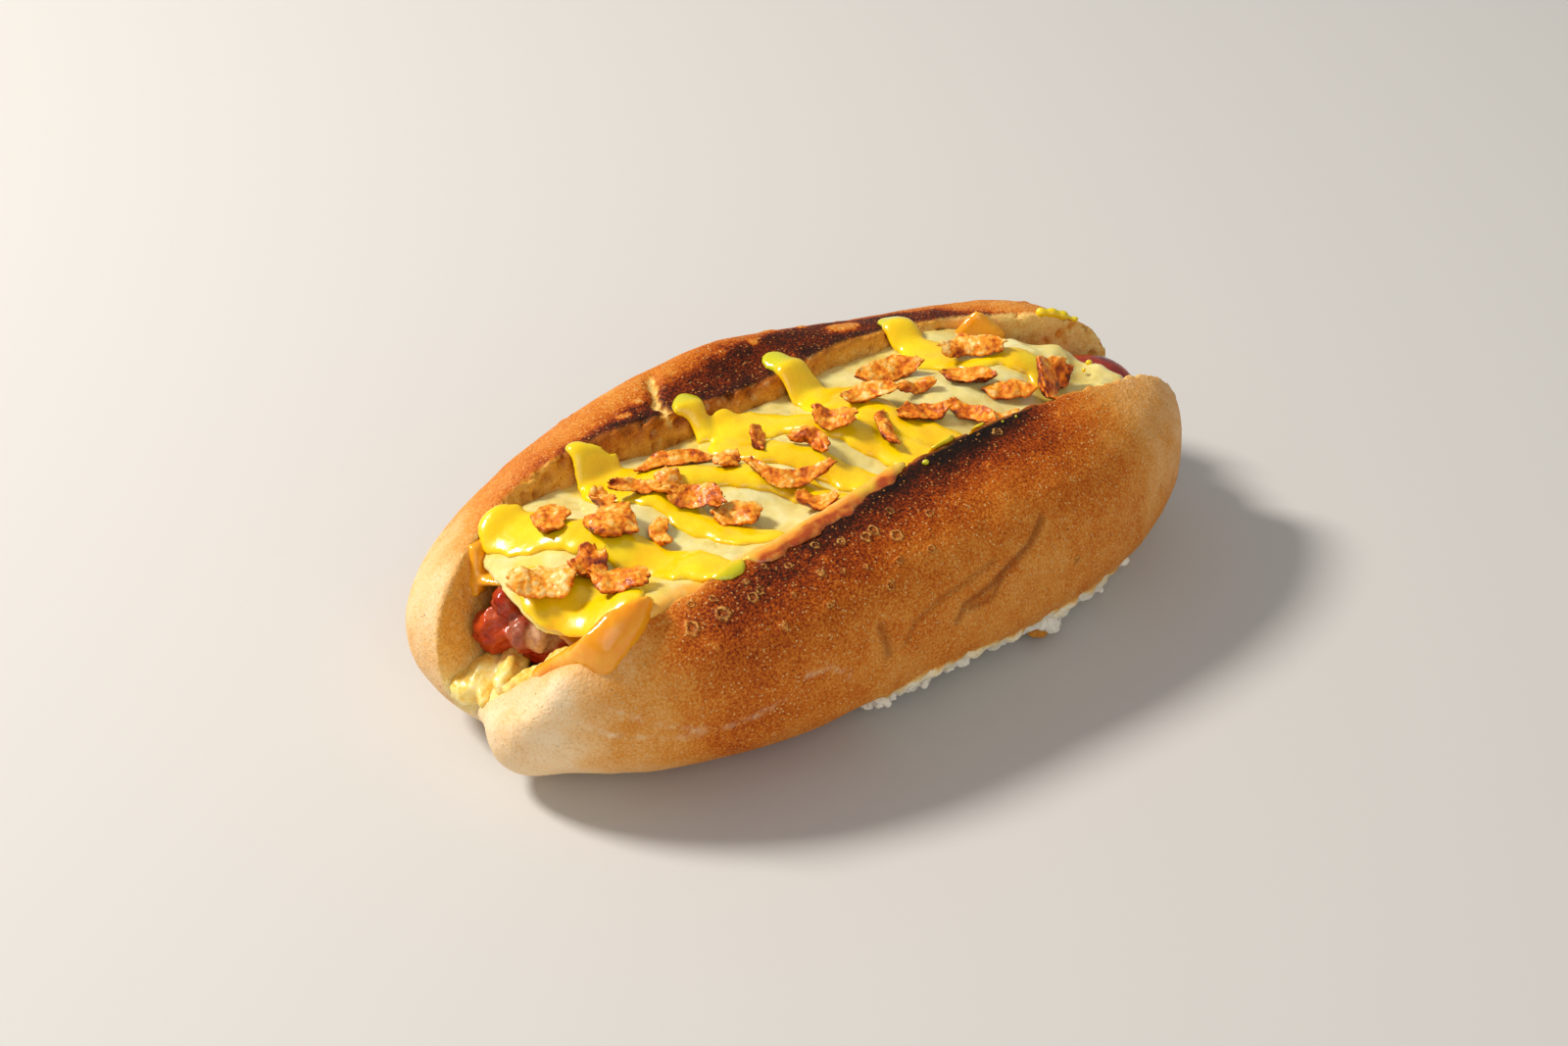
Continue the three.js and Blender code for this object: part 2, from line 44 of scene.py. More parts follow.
SAUSAGE_RADIUS, SAUSAGE_NEAR, SAUSAGE_FAR = 13.2, -80.0, 92.5
PALE_THICK, SLICE_THICK, LAYER_GAP, GAP = 3.0, 1.9, 0.8, 0.35
MUSTARD_HEIGHT, FLAKE_THICK = 1.9, 1.5


def ease(start, end, value):
    share = np.clip((value - start) / (end - start), 0, 1)
    return share * share * (3 - 2 * share)


def mix(a, b, share):
    return a + (b - a) * share


def signed_power(value, power):
    return np.sign(value) * np.abs(value) ** power


def bump_at(value, middle, half):
    return np.exp(-(((value - middle) / half) ** 2))


def curve(pairs):
    """A smooth function of x through a few (x, value) pairs, level past both ends."""
    px, py = np.array(pairs, float).T
    n = len(px)
    before, after = np.maximum(np.arange(n) - 1, 0), np.minimum(np.arange(n) + 1, n - 1)
    slope = (py[after] - py[before]) / (px[after] - px[before])

    def at(x):
        x = np.clip(x, px[0], px[-1])
        i = np.clip(np.searchsorted(px, x, side="right") - 1, 0, n - 2)
        span = px[i + 1] - px[i]
        t = (x - px[i]) / span
        rise = slope[i] * t * (1 - t) ** 2 - slope[i + 1] * t * t * (1 - t)
        return py[i] * (1 + 2 * t) * (1 - t) ** 2 + py[i + 1] * t * t * (3 - 2 * t) + span * rise

    return at


FRONT_LIP = curve([(-95, 23), (-80, 29), (-45, 29.5), (-15, 27), (0, 24.5), (30, 22.5), (60, 23), (95, 22)])
BACK_LIP = curve([(-95, 14.5), (-82, 19.3), (-66, 23.3), (-50, 25.3), (2, 24.4), (17, 25.8), (30, 28),
                  (48, 27), (62, 23.5), (72, 17.5), (84, 9.5), (95, 5)])
LIP_RISE = curve([(-95, -4), (-80, -3), (-62, -0.5), (-40, 0), (-12, -2.6), (24, -3.6), (64, -3.6),
                  (80, -0.5), (95, 1)])
SHOULDER_RISE = curve([(-95, -6), (-80, -5.5), (-62, -3.6), (-48, -0.6), (-30, 3.0), (-12, 5.8), (4, 6.2),
                       (24, 1.4), (45, -2.8), (66, -2.6), (84, 0.6), (95, 2)])
SLIT_CENTRE = curve([(-95, 4), (-60, 1.5), (0, 1), (60, -2.5), (95, -8.5)])
FLOOR_SHARE = curve([(-95, 0.04), (-82, 0.16), (-62, 0.45), (60, 0.5), (95, 0.7)])
WALL_POWER = curve([(-95, 1.05), (-60, 0.72), (95, 0.7)])
NEAR_LIP = curve([(-96, 3), (-90.9, 1.6), (-88.6, -4.7), (-86.4, -11.6), (-84, -15.4), (-81.3, -19.5),
                  (-75.7, -25.4), (-67.6, -28.3)])
NEAR_HEIGHT = curve([(-96, 9.5), (-90.9, 11.4), (-88.6, 18.6), (-86.4, 26), (-84, 29.6), (-81.3, 33.5),
                     (-75.7, 39.9), (-67.6, 46.5)])
NEAR_SLOPE = 0.62
TONGUE_OUTER = curve([(0, -18), (0.08, -20.5), (0.14, -24.5), (0.2, -29), (0.3, -32), (0.42, -32.5),
                      (0.65, -31.8), (0.85, -30), (1, -27.5)])
TONGUE_INNER = curve([(0, -14), (0.3, -15), (0.6, -18), (1, -23)])


def round_share(away, power):
    """1 at the middle, falling in a full arc to 0 where away is 1."""
    return (1 - away**power) ** (1 / power)


def plan_share(x):
    return round_share(np.clip(np.abs(2 * x / LENGTH), 0, 1), PLAN_POWER)


def rise_share(x):
    return round_share(np.clip(np.abs(2 * x / LENGTH), 0, 1), RISE_POWER)


def crown_rise(x, side):
    rise = mix(LIP_RISE(x) * ease(0, 0.4, side), SHOULDER_RISE(x), ease(0.5, 0.86, side))
    return np.where(side > 0, rise, 0)


def torn_crumb(x, y, z):
    front = y < 0
    middle, half = np.where(front, 6, -8), np.where(front, 60, 44)
    out = np.where(front, 0.6 + 5.1 * ease(18, 34, x), 2.4)
    along = np.maximum(0, 1 - np.abs((x - middle) / half) ** 4)
    upward = bump_at(z, 5.5, 3.4)
    ragged = 0.6 + 0.3 * np.sin(x * 0.43) + 0.2 * np.sin(x * 0.97 + 1)
    lost = np.where(front, 8 * bump_at(x, -8, 17) * ease(16, 7, z), 0)
    return out * along * upward * ragged - lost


def pinch(x, y):
    near = 3.2 * bump_at(y, -4, 8) - 2.4 * bump_at(y, 24, 12) - 2.4 * bump_at(y, -22, 10)
    return near * ease(-70, -92, x) + 2 * bump_at(y, -24, 13) * ease(55, 88, x)


def crown_height(x, y):
    side = np.clip(y / (WIDTH / 2 * plan_share(x) + 0.01), -1, 1)
    arch = round_share(np.abs(side), CROWN_POWER)
    return WIDEST + arch * ((HEIGHT - WIDEST) * rise_share(x) + crown_rise(x, side))


def belly_place(x, z):
    """How far the front stands out at a height below the widest line, without the torn crumb."""
    down = np.clip((WIDEST - z) / ((WIDEST + SINK) * rise_share(x)), 0, 1)
    return WIDTH / 2 * plan_share(x) * round_share(down, BELLY_POWER)


def wall_place(side, x, z):
    """Where the slit's front wall, side -1, or its back wall, side 1, stands at a height."""
    depth = np.clip((z - FLOOR) / (LIP - FLOOR), 0, 1.25)
    share = mix(FLOOR_SHARE(x), 1, depth ** WALL_POWER(x))
    return mix(SLIT_CENTRE(x), -FRONT_LIP(x) if side < 0 else BACK_LIP(x), share)


def wall_height(x, y):
    """How high the front wall is at a place."""
    share = (y - SLIT_CENTRE(x)) / (-FRONT_LIP(x) - SLIT_CENTRE(x))
    low = FLOOR_SHARE(x)
    return FLOOR + (LIP - FLOOR) * np.maximum(0, (share - low) / (1 - low)) ** (1 / WALL_POWER(x))


def near_height(x, y):
    """How high the front half's lip is where it falls to the hinge at the near end."""
    return NEAR_HEIGHT(x) + NEAR_SLOPE * np.maximum(0, NEAR_LIP(x) - y)


def sausage_centre(x):
    return SLIT_CENTRE(x) * 0.8 + 0.6


def cheese_top(x, y):
    hump = 3.6 * bump_at(y, sausage_centre(x), 12)
    flush = 4.2 * ease(-12, -28, y) * ease(18, -22, x) * ease(-84, -66, x)
    ends = 4.2 * ease(-62, -82, x) + 5.2 * ease(52, 86, x)
    folds = 0.5 * np.sin(x * 0.21 + y * 0.13) + 0.4 * np.sin(x * 0.11 - y * 0.27 + 1.4)
    return 40.6 + hump + flush - ends + folds


# Noise on points, in units of its own cell
def hashed(cell, seed):
    c = cell.astype(np.int64).astype(np.uint32)
    n = c[..., 0] * np.uint32(374761393) + c[..., 1] * np.uint32(668265263)
    n = n + c[..., 2] * np.uint32(2246822519)
    n = n + np.uint32((seed * 3266489917) % 4294967296)
    n = (n ^ (n >> np.uint32(15))) * np.uint32(2654435761)
    n = (n ^ (n >> np.uint32(13))) * np.uint32(1597334677)
    return (n ^ (n >> np.uint32(16))).astype(np.float64) / 4294967295.0


def soft_noise(p, seed=0):
    """Smooth noise, about -1 to 1."""
    base = np.floor(p)
    f = p - base
    w = f * f * f * (f * (f * 6 - 15) + 10)
    total = np.zeros(len(p))
    for corner in np.ndindex(2, 2, 2):
        c = np.array(corner)
        slope = np.stack([hashed(base + c, seed + 17 * k) * 2 - 1 for k in (1, 2, 3)], -1)
        weight = np.prod(np.where(c == 1, w, 1 - w), -1)
        total += weight * np.sum(slope * (f - c), -1)
    return total * 1.6


def noise_on(p):
    """Smooth noise at the points p, by the size of its cells and a seed."""
    return lambda size, seed: soft_noise(p / size, seed)


def layered_noise(p, octaves=3, seed=0):
    return sum(soft_noise(p * 2.03**k + 11.3 * k, seed + k) * 0.5**k for k in range(octaves))


def cells(p, seed=0):
    """Distance to the nearest of scattered points, and a random number of its own from 0 to 1."""
    base = np.floor(p)
    first, kind = np.full(len(p), 9.0), np.zeros(len(p))
    for offset in np.ndindex(3, 3, 3):
        cell = base + np.array(offset) - 1
        point = cell + np.stack([hashed(cell, seed + 31 * k) for k in (1, 2, 3)], -1)
        away = np.linalg.norm(p - point, axis=-1)
        nearer = away < first
        kind = np.where(nearer, hashed(cell, seed + 177), kind)
        first = np.where(nearer, away, first)
    return first, kind


# Meshes
def make_mesh(name, points, faces):
    """An object in millimetres from points and faces."""
    mesh = bpy.data.meshes.new(name)
    mesh.from_pydata(np.asarray(points).tolist(), [], faces)
    mesh.update()
    obj = bpy.data.objects.new(name, mesh)
    bpy.context.scene.collection.objects.link(obj)
    return obj


def points_of(obj, what="co"):
    """The points of a mesh, or its normals there, as rows of three."""
    values = np.zeros(len(obj.data.vertices) * 3, np.float32)
    obj.data.vertices.foreach_get(what, values)
    return values.reshape(-1, 3).astype(float)


def normals_of(obj):
    return points_of(obj, "normal")


def set_points(obj, points):
    obj.data.vertices.foreach_set("co", np.asarray(points, np.float32).ravel())
    obj.data.update()


def push_out(obj, height):
    """Moves each point out along its normal by its height, but not below the table."""
    moved = points_of(obj) + normals_of(obj) * height[:, None]
    moved[:, 2] = np.maximum(moved[:, 2], 0)
    set_points(obj, moved)


def away_from(p, place, size=(1, 1, 1)):
    """How far the points p are from a place, in parts of a size along X, Y and Z."""
    return np.linalg.norm((p - np.array(place)) / np.array(size), axis=1)


def add_mark(obj, name, values):
    """Keeps a value per point, which the materials read by its name."""
    mark = obj.data.attributes.new(name, "FLOAT", "POINT")
    mark.data.foreach_set("value", np.asarray(values, np.float32))


def applied(obj):
    """Applies obj's modifiers."""
    graph = bpy.context.evaluated_depsgraph_get()
    mesh = bpy.data.meshes.new_from_object(obj.evaluated_get(graph))
    obj.modifiers.clear()
    old = obj.data
    obj.data = mesh
    bpy.data.meshes.remove(old)
    return obj


# Cells in millimetres that the forms are rebuilt with: fine enough for the relief on each.
BREAD_CELL, HINGE_CELL, TORN_CELL, BIT_CELL = 1.0, 0.55, 0.45, 0.4
SAUSAGE_CELL, CHEESE_CELL, MUSTARD_CELL, ONION_CELL = 0.75, 0.75, 0.5, 0.3


def remesh(obj, size, smooth, factor=0.5):
    """Rebuilds a form of crossing parts as one even mesh, and smooths it."""
    mod = obj.modifiers.new("even", "REMESH")
    mod.mode, mod.voxel_size = "VOXEL", size
    mod = obj.modifiers.new("soft", "SMOOTH")
    mod.factor, mod.iterations = factor, smooth
    return applied(obj)


def soften(obj, share, repeat):
    """Rounds the mesh off where share, a value per point, is above 0."""
    group = obj.vertex_groups.new(name="soft")
    for i in np.nonzero(share > 0.02)[0]:
        group.add([int(i)], float(share[i]), "REPLACE")
    step = obj.modifiers.new("soften", "SMOOTH")
    step.factor, step.iterations, step.vertex_group = 0.5, repeat, "soft"
    made = applied(obj)
    made.vertex_groups.clear()
    return made


def cut_out(obj, cutter):
    mod = obj.modifiers.new("cut", "BOOLEAN")
    mod.operation, mod.solver, mod.object = "DIFFERENCE", "MANIFOLD", cutter
    applied(obj)
    bpy.data.objects.remove(cutter)
    return obj


def joined(objs):
    """One object from several, which may cross until the next remesh."""
    points, faces, start = [], [], 0
    for obj in objs:
        points.append(points_of(obj))
        faces += [tuple(start + v for v in poly.vertices) for poly in obj.data.polygons]
        start += len(obj.data.vertices)
        bpy.data.objects.remove(obj)
    return make_mesh("joined", np.concatenate(points), faces)


def finish_piece(obj, name, material, slot, *nodes):
    """Turns a mesh in millimetres into a piece of the row, in metres, smooth shaded."""
    obj.name = name
    obj.data.name = name
    set_points(obj, points_of(obj) * 0.001)
    obj.data.materials.clear()
    obj.data.materials.append(material)
    obj.data.polygons.foreach_set("use_smooth", np.ones(len(obj.data.polygons), bool))
    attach(obj, "root")
    if nodes:
        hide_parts(*nodes)


def warped_sphere(name, around, along, place):
    """A closed form from place(dx, turn), with dx from -1 to 1 along X and turn round X."""
    phi = np.linspace(-np.pi / 2, np.pi / 2, along + 1)[1:-1]
    turn = np.linspace(0, 2 * np.pi, around, endpoint=False)
    dx, tt = np.meshgrid(np.sin(phi), turn, indexing="ij")
    ends = np.array([[-1.0], [1.0]]), np.zeros((2, 1))
    ring = place(dx, tt).reshape(-1, 3)
    poles = place(*ends).reshape(-1, 3)
    points = np.concatenate([ring, poles])
    n, faces = along - 1, []
    for i in range(n - 1):
        for j in range(around):
            k = (j + 1) % around
            faces.append((i * around + j, i * around + k, (i + 1) * around + k, (i + 1) * around + j))
    near, far, last = n * around, n * around + 1, (n - 1) * around
    for j in range(around):
        k = (j + 1) % around
        faces.append((near, k, j))
        faces.append((far, last + j, last + k))
    return outward(make_mesh(name, points, faces))


def warped_box(name, nx, ny, nz, place):
    """A closed form from place(bx, by, bz), with bx and by from -1 to 1 and bz from 0 to 1."""
    index, points, faces = {}, [], []

    def at(i, j, k):
        if (i, j, k) not in index:
            index[i, j, k] = len(points)
            points.append((2 * i / nx - 1, 2 * j / ny - 1, k / nz))
        return index[i, j, k]

    for i in range(nx):
        for j in range(ny):
            faces.append((at(i, j, 0), at(i, j + 1, 0), at(i + 1, j + 1, 0), at(i + 1, j, 0)))
            faces.append((at(i, j, nz), at(i + 1, j, nz), at(i + 1, j + 1, nz), at(i, j + 1, nz)))
    for i in range(nx):
        for k in range(nz):
            faces.append((at(i, 0, k), at(i + 1, 0, k), at(i + 1, 0, k + 1), at(i, 0, k + 1)))
            faces.append((at(i, ny, k), at(i, ny, k + 1), at(i + 1, ny, k + 1), at(i + 1, ny, k)))
    for j in range(ny):
        for k in range(nz):
            faces.append((at(0, j, k), at(0, j, k + 1), at(0, j + 1, k + 1), at(0, j + 1, k)))
            faces.append((at(nx, j, k), at(nx, j + 1, k), at(nx, j + 1, k + 1), at(nx, j, k + 1)))
    b = np.array(points)
    return outward(make_mesh(name, place(b[:, 0], b[:, 1], b[:, 2]), faces))


def pillow(bx, by):
    """1 in the middle of a warped box, falling to 0 in an arc near its four sides."""
    return np.sqrt(np.maximum(0, 1 - np.maximum(np.abs(bx), np.abs(by)) ** 4))


def outward(obj):
    """Turns the faces outwards if the closed form is inside out."""
    co = points_of(obj)
    volume = 0.0
    for poly in obj.data.polygons:
        v = [co[i] for i in poly.vertices]
        for i in range(1, len(v) - 1):
            volume += np.dot(v[0], np.cross(v[i], v[i + 1]))
    if volume < 0:
        obj.data.flip_normals()
    return obj


# Materials
WANDER = 0.0006  # how far the blisters' rings stray, in metres


class Material:
    """A node material, with short calls for the nodes that all of them use. Sizes are in millimetres."""

    def __init__(self, name):
        self.made = bpy.data.materials.new(name)
        self.made.use_nodes = True
        self.tree = self.made.node_tree
        self.shader = self.tree.nodes["Principled BSDF"]
        self.place = self.tree.nodes.new("ShaderNodeTexCoord").outputs["Object"]

    def node(self, kind, inputs=(), **settings):
        node = self.tree.nodes.new("ShaderNode" + kind)
        for key, value in settings.items():
            setattr(node, key, value)
        for key, value in dict(inputs).items():
            self.put(node.inputs[key], value)
        return node

    def put(self, socket, value):
        if isinstance(value, bpy.types.NodeSocket):
            self.tree.links.new(value, socket)
        else:
            socket.default_value = value

    def set(self, **values):
        for key, value in values.items():
            self.put(self.shader.inputs[key.replace("_", " ")], value)

    def noise(self, size, detail=3.0, rough=0.55, place=None):
        inputs = {"Vector": place or self.place, "Scale": 1000.0 / size, "Detail": detail, "Roughness": rough}
        return self.node("TexNoise", inputs).outputs["Fac"]

    def cells(self, size):
        return self.node("TexVoronoi", {"Vector": self.place, "Scale": 1000.0 / size}).outputs["Distance"]

    def stretched(self, x, y, z):
        return self.node("Mapping", {"Vector": self.place, "Scale": (x, y, z)}).outputs["Vector"]

    def mark(self, name):
        return self.node("Attribute", attribute_name=name).outputs["Fac"]

    def math(self, operation, a, b):
        return self.node("Math", {0: a, 1: b}, operation=operation).outputs[0]

    def add(self, *values):
        total = values[0]
        for value in values[1:]:
            total = self.math("ADD", total, value)
        return total

    def times(self, a, b):
        return self.math("MULTIPLY", a, b)

    def swing(self, value, amount):
        """A 0 to 1 value turned into one about 0."""
        return self.times(self.math("SUBTRACT", value, 0.5), amount)

    def range(self, value, low, high, to_low=0.0, to_high=1.0):
        inputs = {"Value": value, "From Min": low, "From Max": high, "To Min": to_low, "To Max": to_high}
        return self.node("MapRange", inputs, interpolation_type="SMOOTHSTEP").outputs["Result"]

    def ramp(self, value, stops):
        node = self.node("ValToRGB", {"Fac": value})
        parts = node.color_ramp.elements
        while len(parts) < len(stops):
            parts.new(0.5)
        for part, (position, color) in zip(parts, stops):
            part.position = position
            part.color = rgb(color)
        return node.outputs["Color"]

    def blend(self, share, a, b):
        """Goes from colour a to colour b, a node's output or sRGB hex digits."""
        a, b = [rgb(color) if isinstance(color, str) else color for color in (a, b)]
        return self.node("Mix", {0: share, 6: a, 7: b}, data_type="RGBA").outputs[2]

    def rings(self, blisters):
        """Thin rings round the given (x, y, z, radius), and the dents inside them."""
        wander = self.node("TexNoise", {"Vector": self.place, "Scale": 700.0, "Detail": 3.0}).outputs["Color"]
        shift = self.node("VectorMath", {0: wander, 3: 2 * WANDER}, operation="SCALE").outputs[0]
        place = self.node("VectorMath", {0: self.place, 1: shift}, operation="ADD").outputs[0]
        nearest = 9.0
        for x, y, z, radius in blisters:
            centre = (x / 1000 + WANDER, y / 1000 + WANDER, z / 1000 + WANDER)
            away = self.node("VectorMath", {0: place, 1: centre}, operation="DISTANCE").outputs["Value"]
            nearest = self.math("MINIMUM", nearest, self.math("DIVIDE", away, radius / 1000))
        ring = self.times(self.range(nearest, 0.5, 0.85), self.range(nearest, 1.3, 0.95))
        return ring, self.range(nearest, 0.7, 0.35)

    def bump(self, height, millimetres):
        inputs = {"Height": height, "Distance": millimetres * 0.001, "Strength": 1.0}
        if self.shader.inputs["Normal"].is_linked:
            inputs["Normal"] = self.shader.inputs["Normal"].links[0].from_socket
        self.put(self.shader.inputs["Normal"], self.node("Bump", inputs).outputs["Normal"])


def rgb(text):
    """A linear colour from six sRGB hex digits."""
    parts = [int(text[i : i + 2], 16) / 255 for i in (0, 2, 4)]
    return tuple(c / 12.92 if c <= 0.04045 else ((c + 0.055) / 1.055) ** 2.4 for c in parts) + (1.0,)


def bread_material():
    """Crust coloured by how far it is baked and crumb by how far it is toasted, as the marks say."""
    m = Material("bread")
    bake, toast, crumb_share = m.mark("bake"), m.mark("toast"), m.mark("crumb")
    mottle, speck = m.noise(4.5, 4, 0.6), m.noise(0.55, 2, 0.6)
    ring, pit = m.rings(BLISTERS)
    wobble = m.add(m.swing(m.noise(16, 4, 0.6), 0.14), m.swing(mottle, 0.2))
    grain = m.swing(speck, m.range(bake, 0.1, 0.6, 0.25, 0.85))
    shown = m.add(bake, m.times(wobble, m.range(bake, 0.0, 0.45, 0.35, 1.0)), grain)
    crust = m.ramp(shown, [(0.0, "f4d8ae"), (0.12, "eebe80"), (0.27, "dc943c"), (0.42, "c86a14"),
                           (0.57, "a44405"), (0.70, "702504"), (0.82, "3a1505"), (1.0, "150a06")])
    dust = m.times(m.range(m.cells(1.2), 0.14, 0.27, 1.0, 0.0), m.range(m.noise(2.6), 0.36, 0.50))
    dust_color = m.ramp(bake, [(0.4, "fccc84"), (0.8, "c8843c")])
    crust = m.blend(m.times(dust, m.range(bake, 0.16, 0.5, 0.3, 0.8)), crust, dust_color)
    holes = m.times(m.range(m.cells(3.1), 0.05, 0.10, 1.0, 0.0), m.range(m.noise(12), 0.46, 0.58))
    crust = m.blend(m.times(holes, 0.7), crust, "4a1c06")
    # Painted highlight and shade: the blisters' raised rings are lightened and the dents inside them darkened.
    crust = m.blend(m.times(ring, m.range(m.noise(0.9, 2), 0.35, 0.65, 0.05, 0.75)), crust, "f0b058")
    crust = m.blend(m.times(pit, 0.3), crust, "b06420")
    crust = m.blend(m.times(m.mark("pale"), m.range(mottle, 0.3, 0.6, 0.4, 1.0)), crust, "f6e2b8")
    # Painted shade: the crust is darkened along the folds' creases.
    crust = m.blend(m.times(m.mark("fold"), 0.7), crust, "7c3c10")
    wall = m.add(toast, m.times(wobble, 0.9), m.swing(speck, 0.3))
    crumb = m.ramp(wall, [(0.0, "f8f2e4"), (0.18, "f8dc8c"), (0.40, "e2a03a"),
                          (0.62, "b8661a"), (0.82, "6c3410"), (1.0, "2a150a")])
    bubbles = m.times(m.range(m.cells(3.4), 0.16, 0.3, 1.0, 0.0), m.range(toast, 0.24, 0.32))
    crumb = m.blend(m.times(bubbles, 0.22), crumb, "f6d490")
    rough = m.blend(crumb_share, (0.62, 0.62, 0.62, 1), (0.42, 0.42, 0.42, 1))
    m.set(Base_Color=m.blend(crumb_share, crust, crumb), Roughness=m.add(rough, m.swing(mottle, 0.3)),
          Subsurface_Weight=0.06, Subsurface_Scale=0.002, Subsurface_Radius=(1.0, 0.5, 0.2),
          Specular_IOR_Level=0.16)
    m.bump(m.add(m.times(m.cells(0.85), 0.35), m.times(speck, 0.9)), 0.16)
    m.bump(m.add(ring, m.times(pit, -0.8), m.times(dust, 0.35)), 0.4)
    m.bump(m.noise(2.6, 4, 0.6), 0.35)
    return m.made


def cheese_material(name, low, middle, high, toasted, rough):
    """Cheese that the marks turn warm and then brown at the toasted lip, and yellow beside the mustard."""
    m = Material(name)
    cloud, mottle = m.noise(14, 3), m.noise(3.2, 4)
    color = m.ramp(m.add(m.times(cloud, 0.7), m.times(mottle, 0.3)), [(0.35, low), (0.5, middle), (0.66, high)])
    toast, patchy = m.mark("toast"), m.range(mottle, 0.3, 0.6, 0.6, 1.0)
    color = m.blend(m.times(m.range(toast, 0, 1), patchy), color, toasted)
    color = m.blend(m.times(m.range(toast, 1, 2), patchy), color, "f08c20")
    color = m.blend(m.times(m.range(toast, 1.7, 2), m.range(mottle, 0.35, 0.6, 0.4, 1.0)), color, "b4480c")
    color = m.blend(m.times(m.mark("stain"), m.range(mottle, 0.3, 0.6, 0.35, 0.75)), color, "f2cf38")
    m.set(Base_Color=color, Roughness=m.range(mottle, 0.35, 0.65, rough, rough + 0.13), Subsurface_Weight=0.35,
          Subsurface_Scale=0.003, Subsurface_Radius=(1.0, 0.7, 0.3), Coat_Weight=0.4, Coat_Roughness=0.08)
    m.bump(m.noise(7, 2), 0.8)
    m.bump(mottle, 0.16)
    return m.made


def mustard_material():
    m = Material("mustard")
    color = m.ramp(m.noise(9, 3), [(0.3, "fcc400"), (0.5, "ffd200"), (0.7, "ffde10")])
    color = m.blend(m.mark("green"), color, "c3cc14")
    m.set(Base_Color=color, Roughness=m.range(m.noise(3), 0.35, 0.65, 0.2, 0.3), Subsurface_Weight=0.2,
          Subsurface_Scale=0.0016, Subsurface_Radius=(1.0, 0.6, 0.1), Coat_Weight=0.4, Coat_Roughness=0.08)
    m.bump(m.noise(2.4, 3), 0.14)
    return m.made


def onion_material():
    m = Material("fried_onion")
    mottle, fine = m.noise(2.2, 4, 0.6), m.noise(0.6, 3, 0.6)
    # The flake's own tone with the painted shade from its mark.
    tone_and_shade = m.add(m.times(mottle, 0.7), m.times(fine, 0.3), m.mark("tone_and_shade"))
    color = m.ramp(tone_and_shade, [(0.18, "5e1c00"), (0.32, "b64c00"), (0.45, "ec7e08"), (0.60, "ffac2c"), (0.78, "ffda8c")])
    m.set(Base_Color=color, Roughness=m.range(fine, 0.3, 0.7, 0.3, 0.5), Subsurface_Weight=0.12,
          Subsurface_Scale=0.001, Subsurface_Radius=(1.0, 0.5, 0.12), Specular_IOR_Level=0.3,
          Coat_Weight=0.2, Coat_Roughness=0.2)
    m.bump(fine, 0.2)
    m.bump(mottle, 0.4)
    return m.made


def sausage_material():
    m = Material("sausage")
    cloud, fine = m.noise(8, 4), m.noise(1.5, 3)
    color = m.ramp(m.add(m.times(cloud, 0.75), m.times(fine, 0.25)),
                   [(0.32, "5e0e04"), (0.46, "921e08"), (0.6, "b43410"), (0.76, "cc5e30")])
    color = m.blend(m.times(m.mark("bright"), m.range(cloud, 0.35, 0.6, 0.35, 0.9)), color, "c2481a")
    color = m.blend(m.times(m.mark("pale"), m.range(fine, 0.3, 0.7, 0.6, 1.0)), color, "dcae84")
    m.set(Base_Color=color, Roughness=m.range(fine, 0.3, 0.7, 0.16, 0.3), Subsurface_Weight=0.15,
          Subsurface_Scale=0.002, Subsurface_Radius=(1.0, 0.3, 0.15), Specular_IOR_Level=0.3,
          Coat_Weight=0.04, Coat_Roughness=0.12)
    m.bump(m.noise(1.1, 3), 0.12)
    m.bump(m.noise(5, 3), 0.3)
    return m.made


def crumb_material():
    """Moist, half baked crumb, yellow from the melted butter and cheese."""
    m = Material("moist_crumb")
    streak = m.noise(3.4, 4, 0.6, place=m.stretched(0.5, 1.0, 1.2))
    fine = m.noise(0.9, 3, 0.6)
    color = m.ramp(m.add(m.times(streak, 0.75), m.times(fine, 0.25)),
                   [(0.34, "ecb640"), (0.45, "f6d060"), (0.56, "fbe28a"), (0.70, "fdf0bc")])
    m.set(Base_Color=color, Roughness=m.range(fine, 0.3, 0.7, 0.22, 0.42), Subsurface_Weight=0.4,
          Subsurface_Scale=0.003, Subsurface_Radius=(1.0, 0.75, 0.3), Coat_Weight=0.3, Coat_Roughness=0.2)
    m.bump(streak, 0.5)
    m.bump(fine, 0.12)
    return m.made


# Marks on the crust: blisters (x, y, z, radius), folds (line, half width, depth), light scratches, the
# crack through the back lip, and patches that stayed pale in the scorched band (x, y, half sizes).
BLISTERS = [
    (-49.9, -29.3, 46.4, 1.0), (-52.8, -33.9, 44.4, 0.9), (-45.3, -37.7, 43.7, 1.2), (-52.7, -37.4, 42.9, 1.5),
    (-59.8, -36.2, 41.7, 1.6), (-44.4, -34.4, 45.4, 0.8), (-29.4, -39.9, 44.1, 1.0), (-12.7, -36.9, 45.9, 1.2),
    (-8.7, -39.8, 44.7, 1.3), (-11.4, -44.2, 42.1, 0.9), (-20.7, -36.0, 46.1, 1.0), (-15.1, -37.5, 45.7, 1.1),
    (-16.2, -47.1, 39.2, 0.9), (-31.4, -45.5, 39.9, 0.8), (30.7, -27.1, 48.2, 1.1), (-43.0, -37.3, 44.4, 0.9),
    (-42.6, -44.7, 39.1, 0.9), (-3.2, -44.8, 41.6, 0.9), (34.1, -50.9, 25.6, 0.9), (-34.5, -35.8, 45.8, 0.8),
    (-26.2, -34.2, 46.8, 0.9), (-37.4, -41.2, 42.9, 0.7), (-24.8, -41.5, 43.3, 0.8), (-6.1, -34.5, 47.0, 0.8),
    (1.5, -38.8, 45.6, 0.9), (-19.4, -42.6, 42.6, 0.7), (-57.2, -32.4, 44.6, 0.8), (-38.9, -33.2, 46.6, 0.7),
]
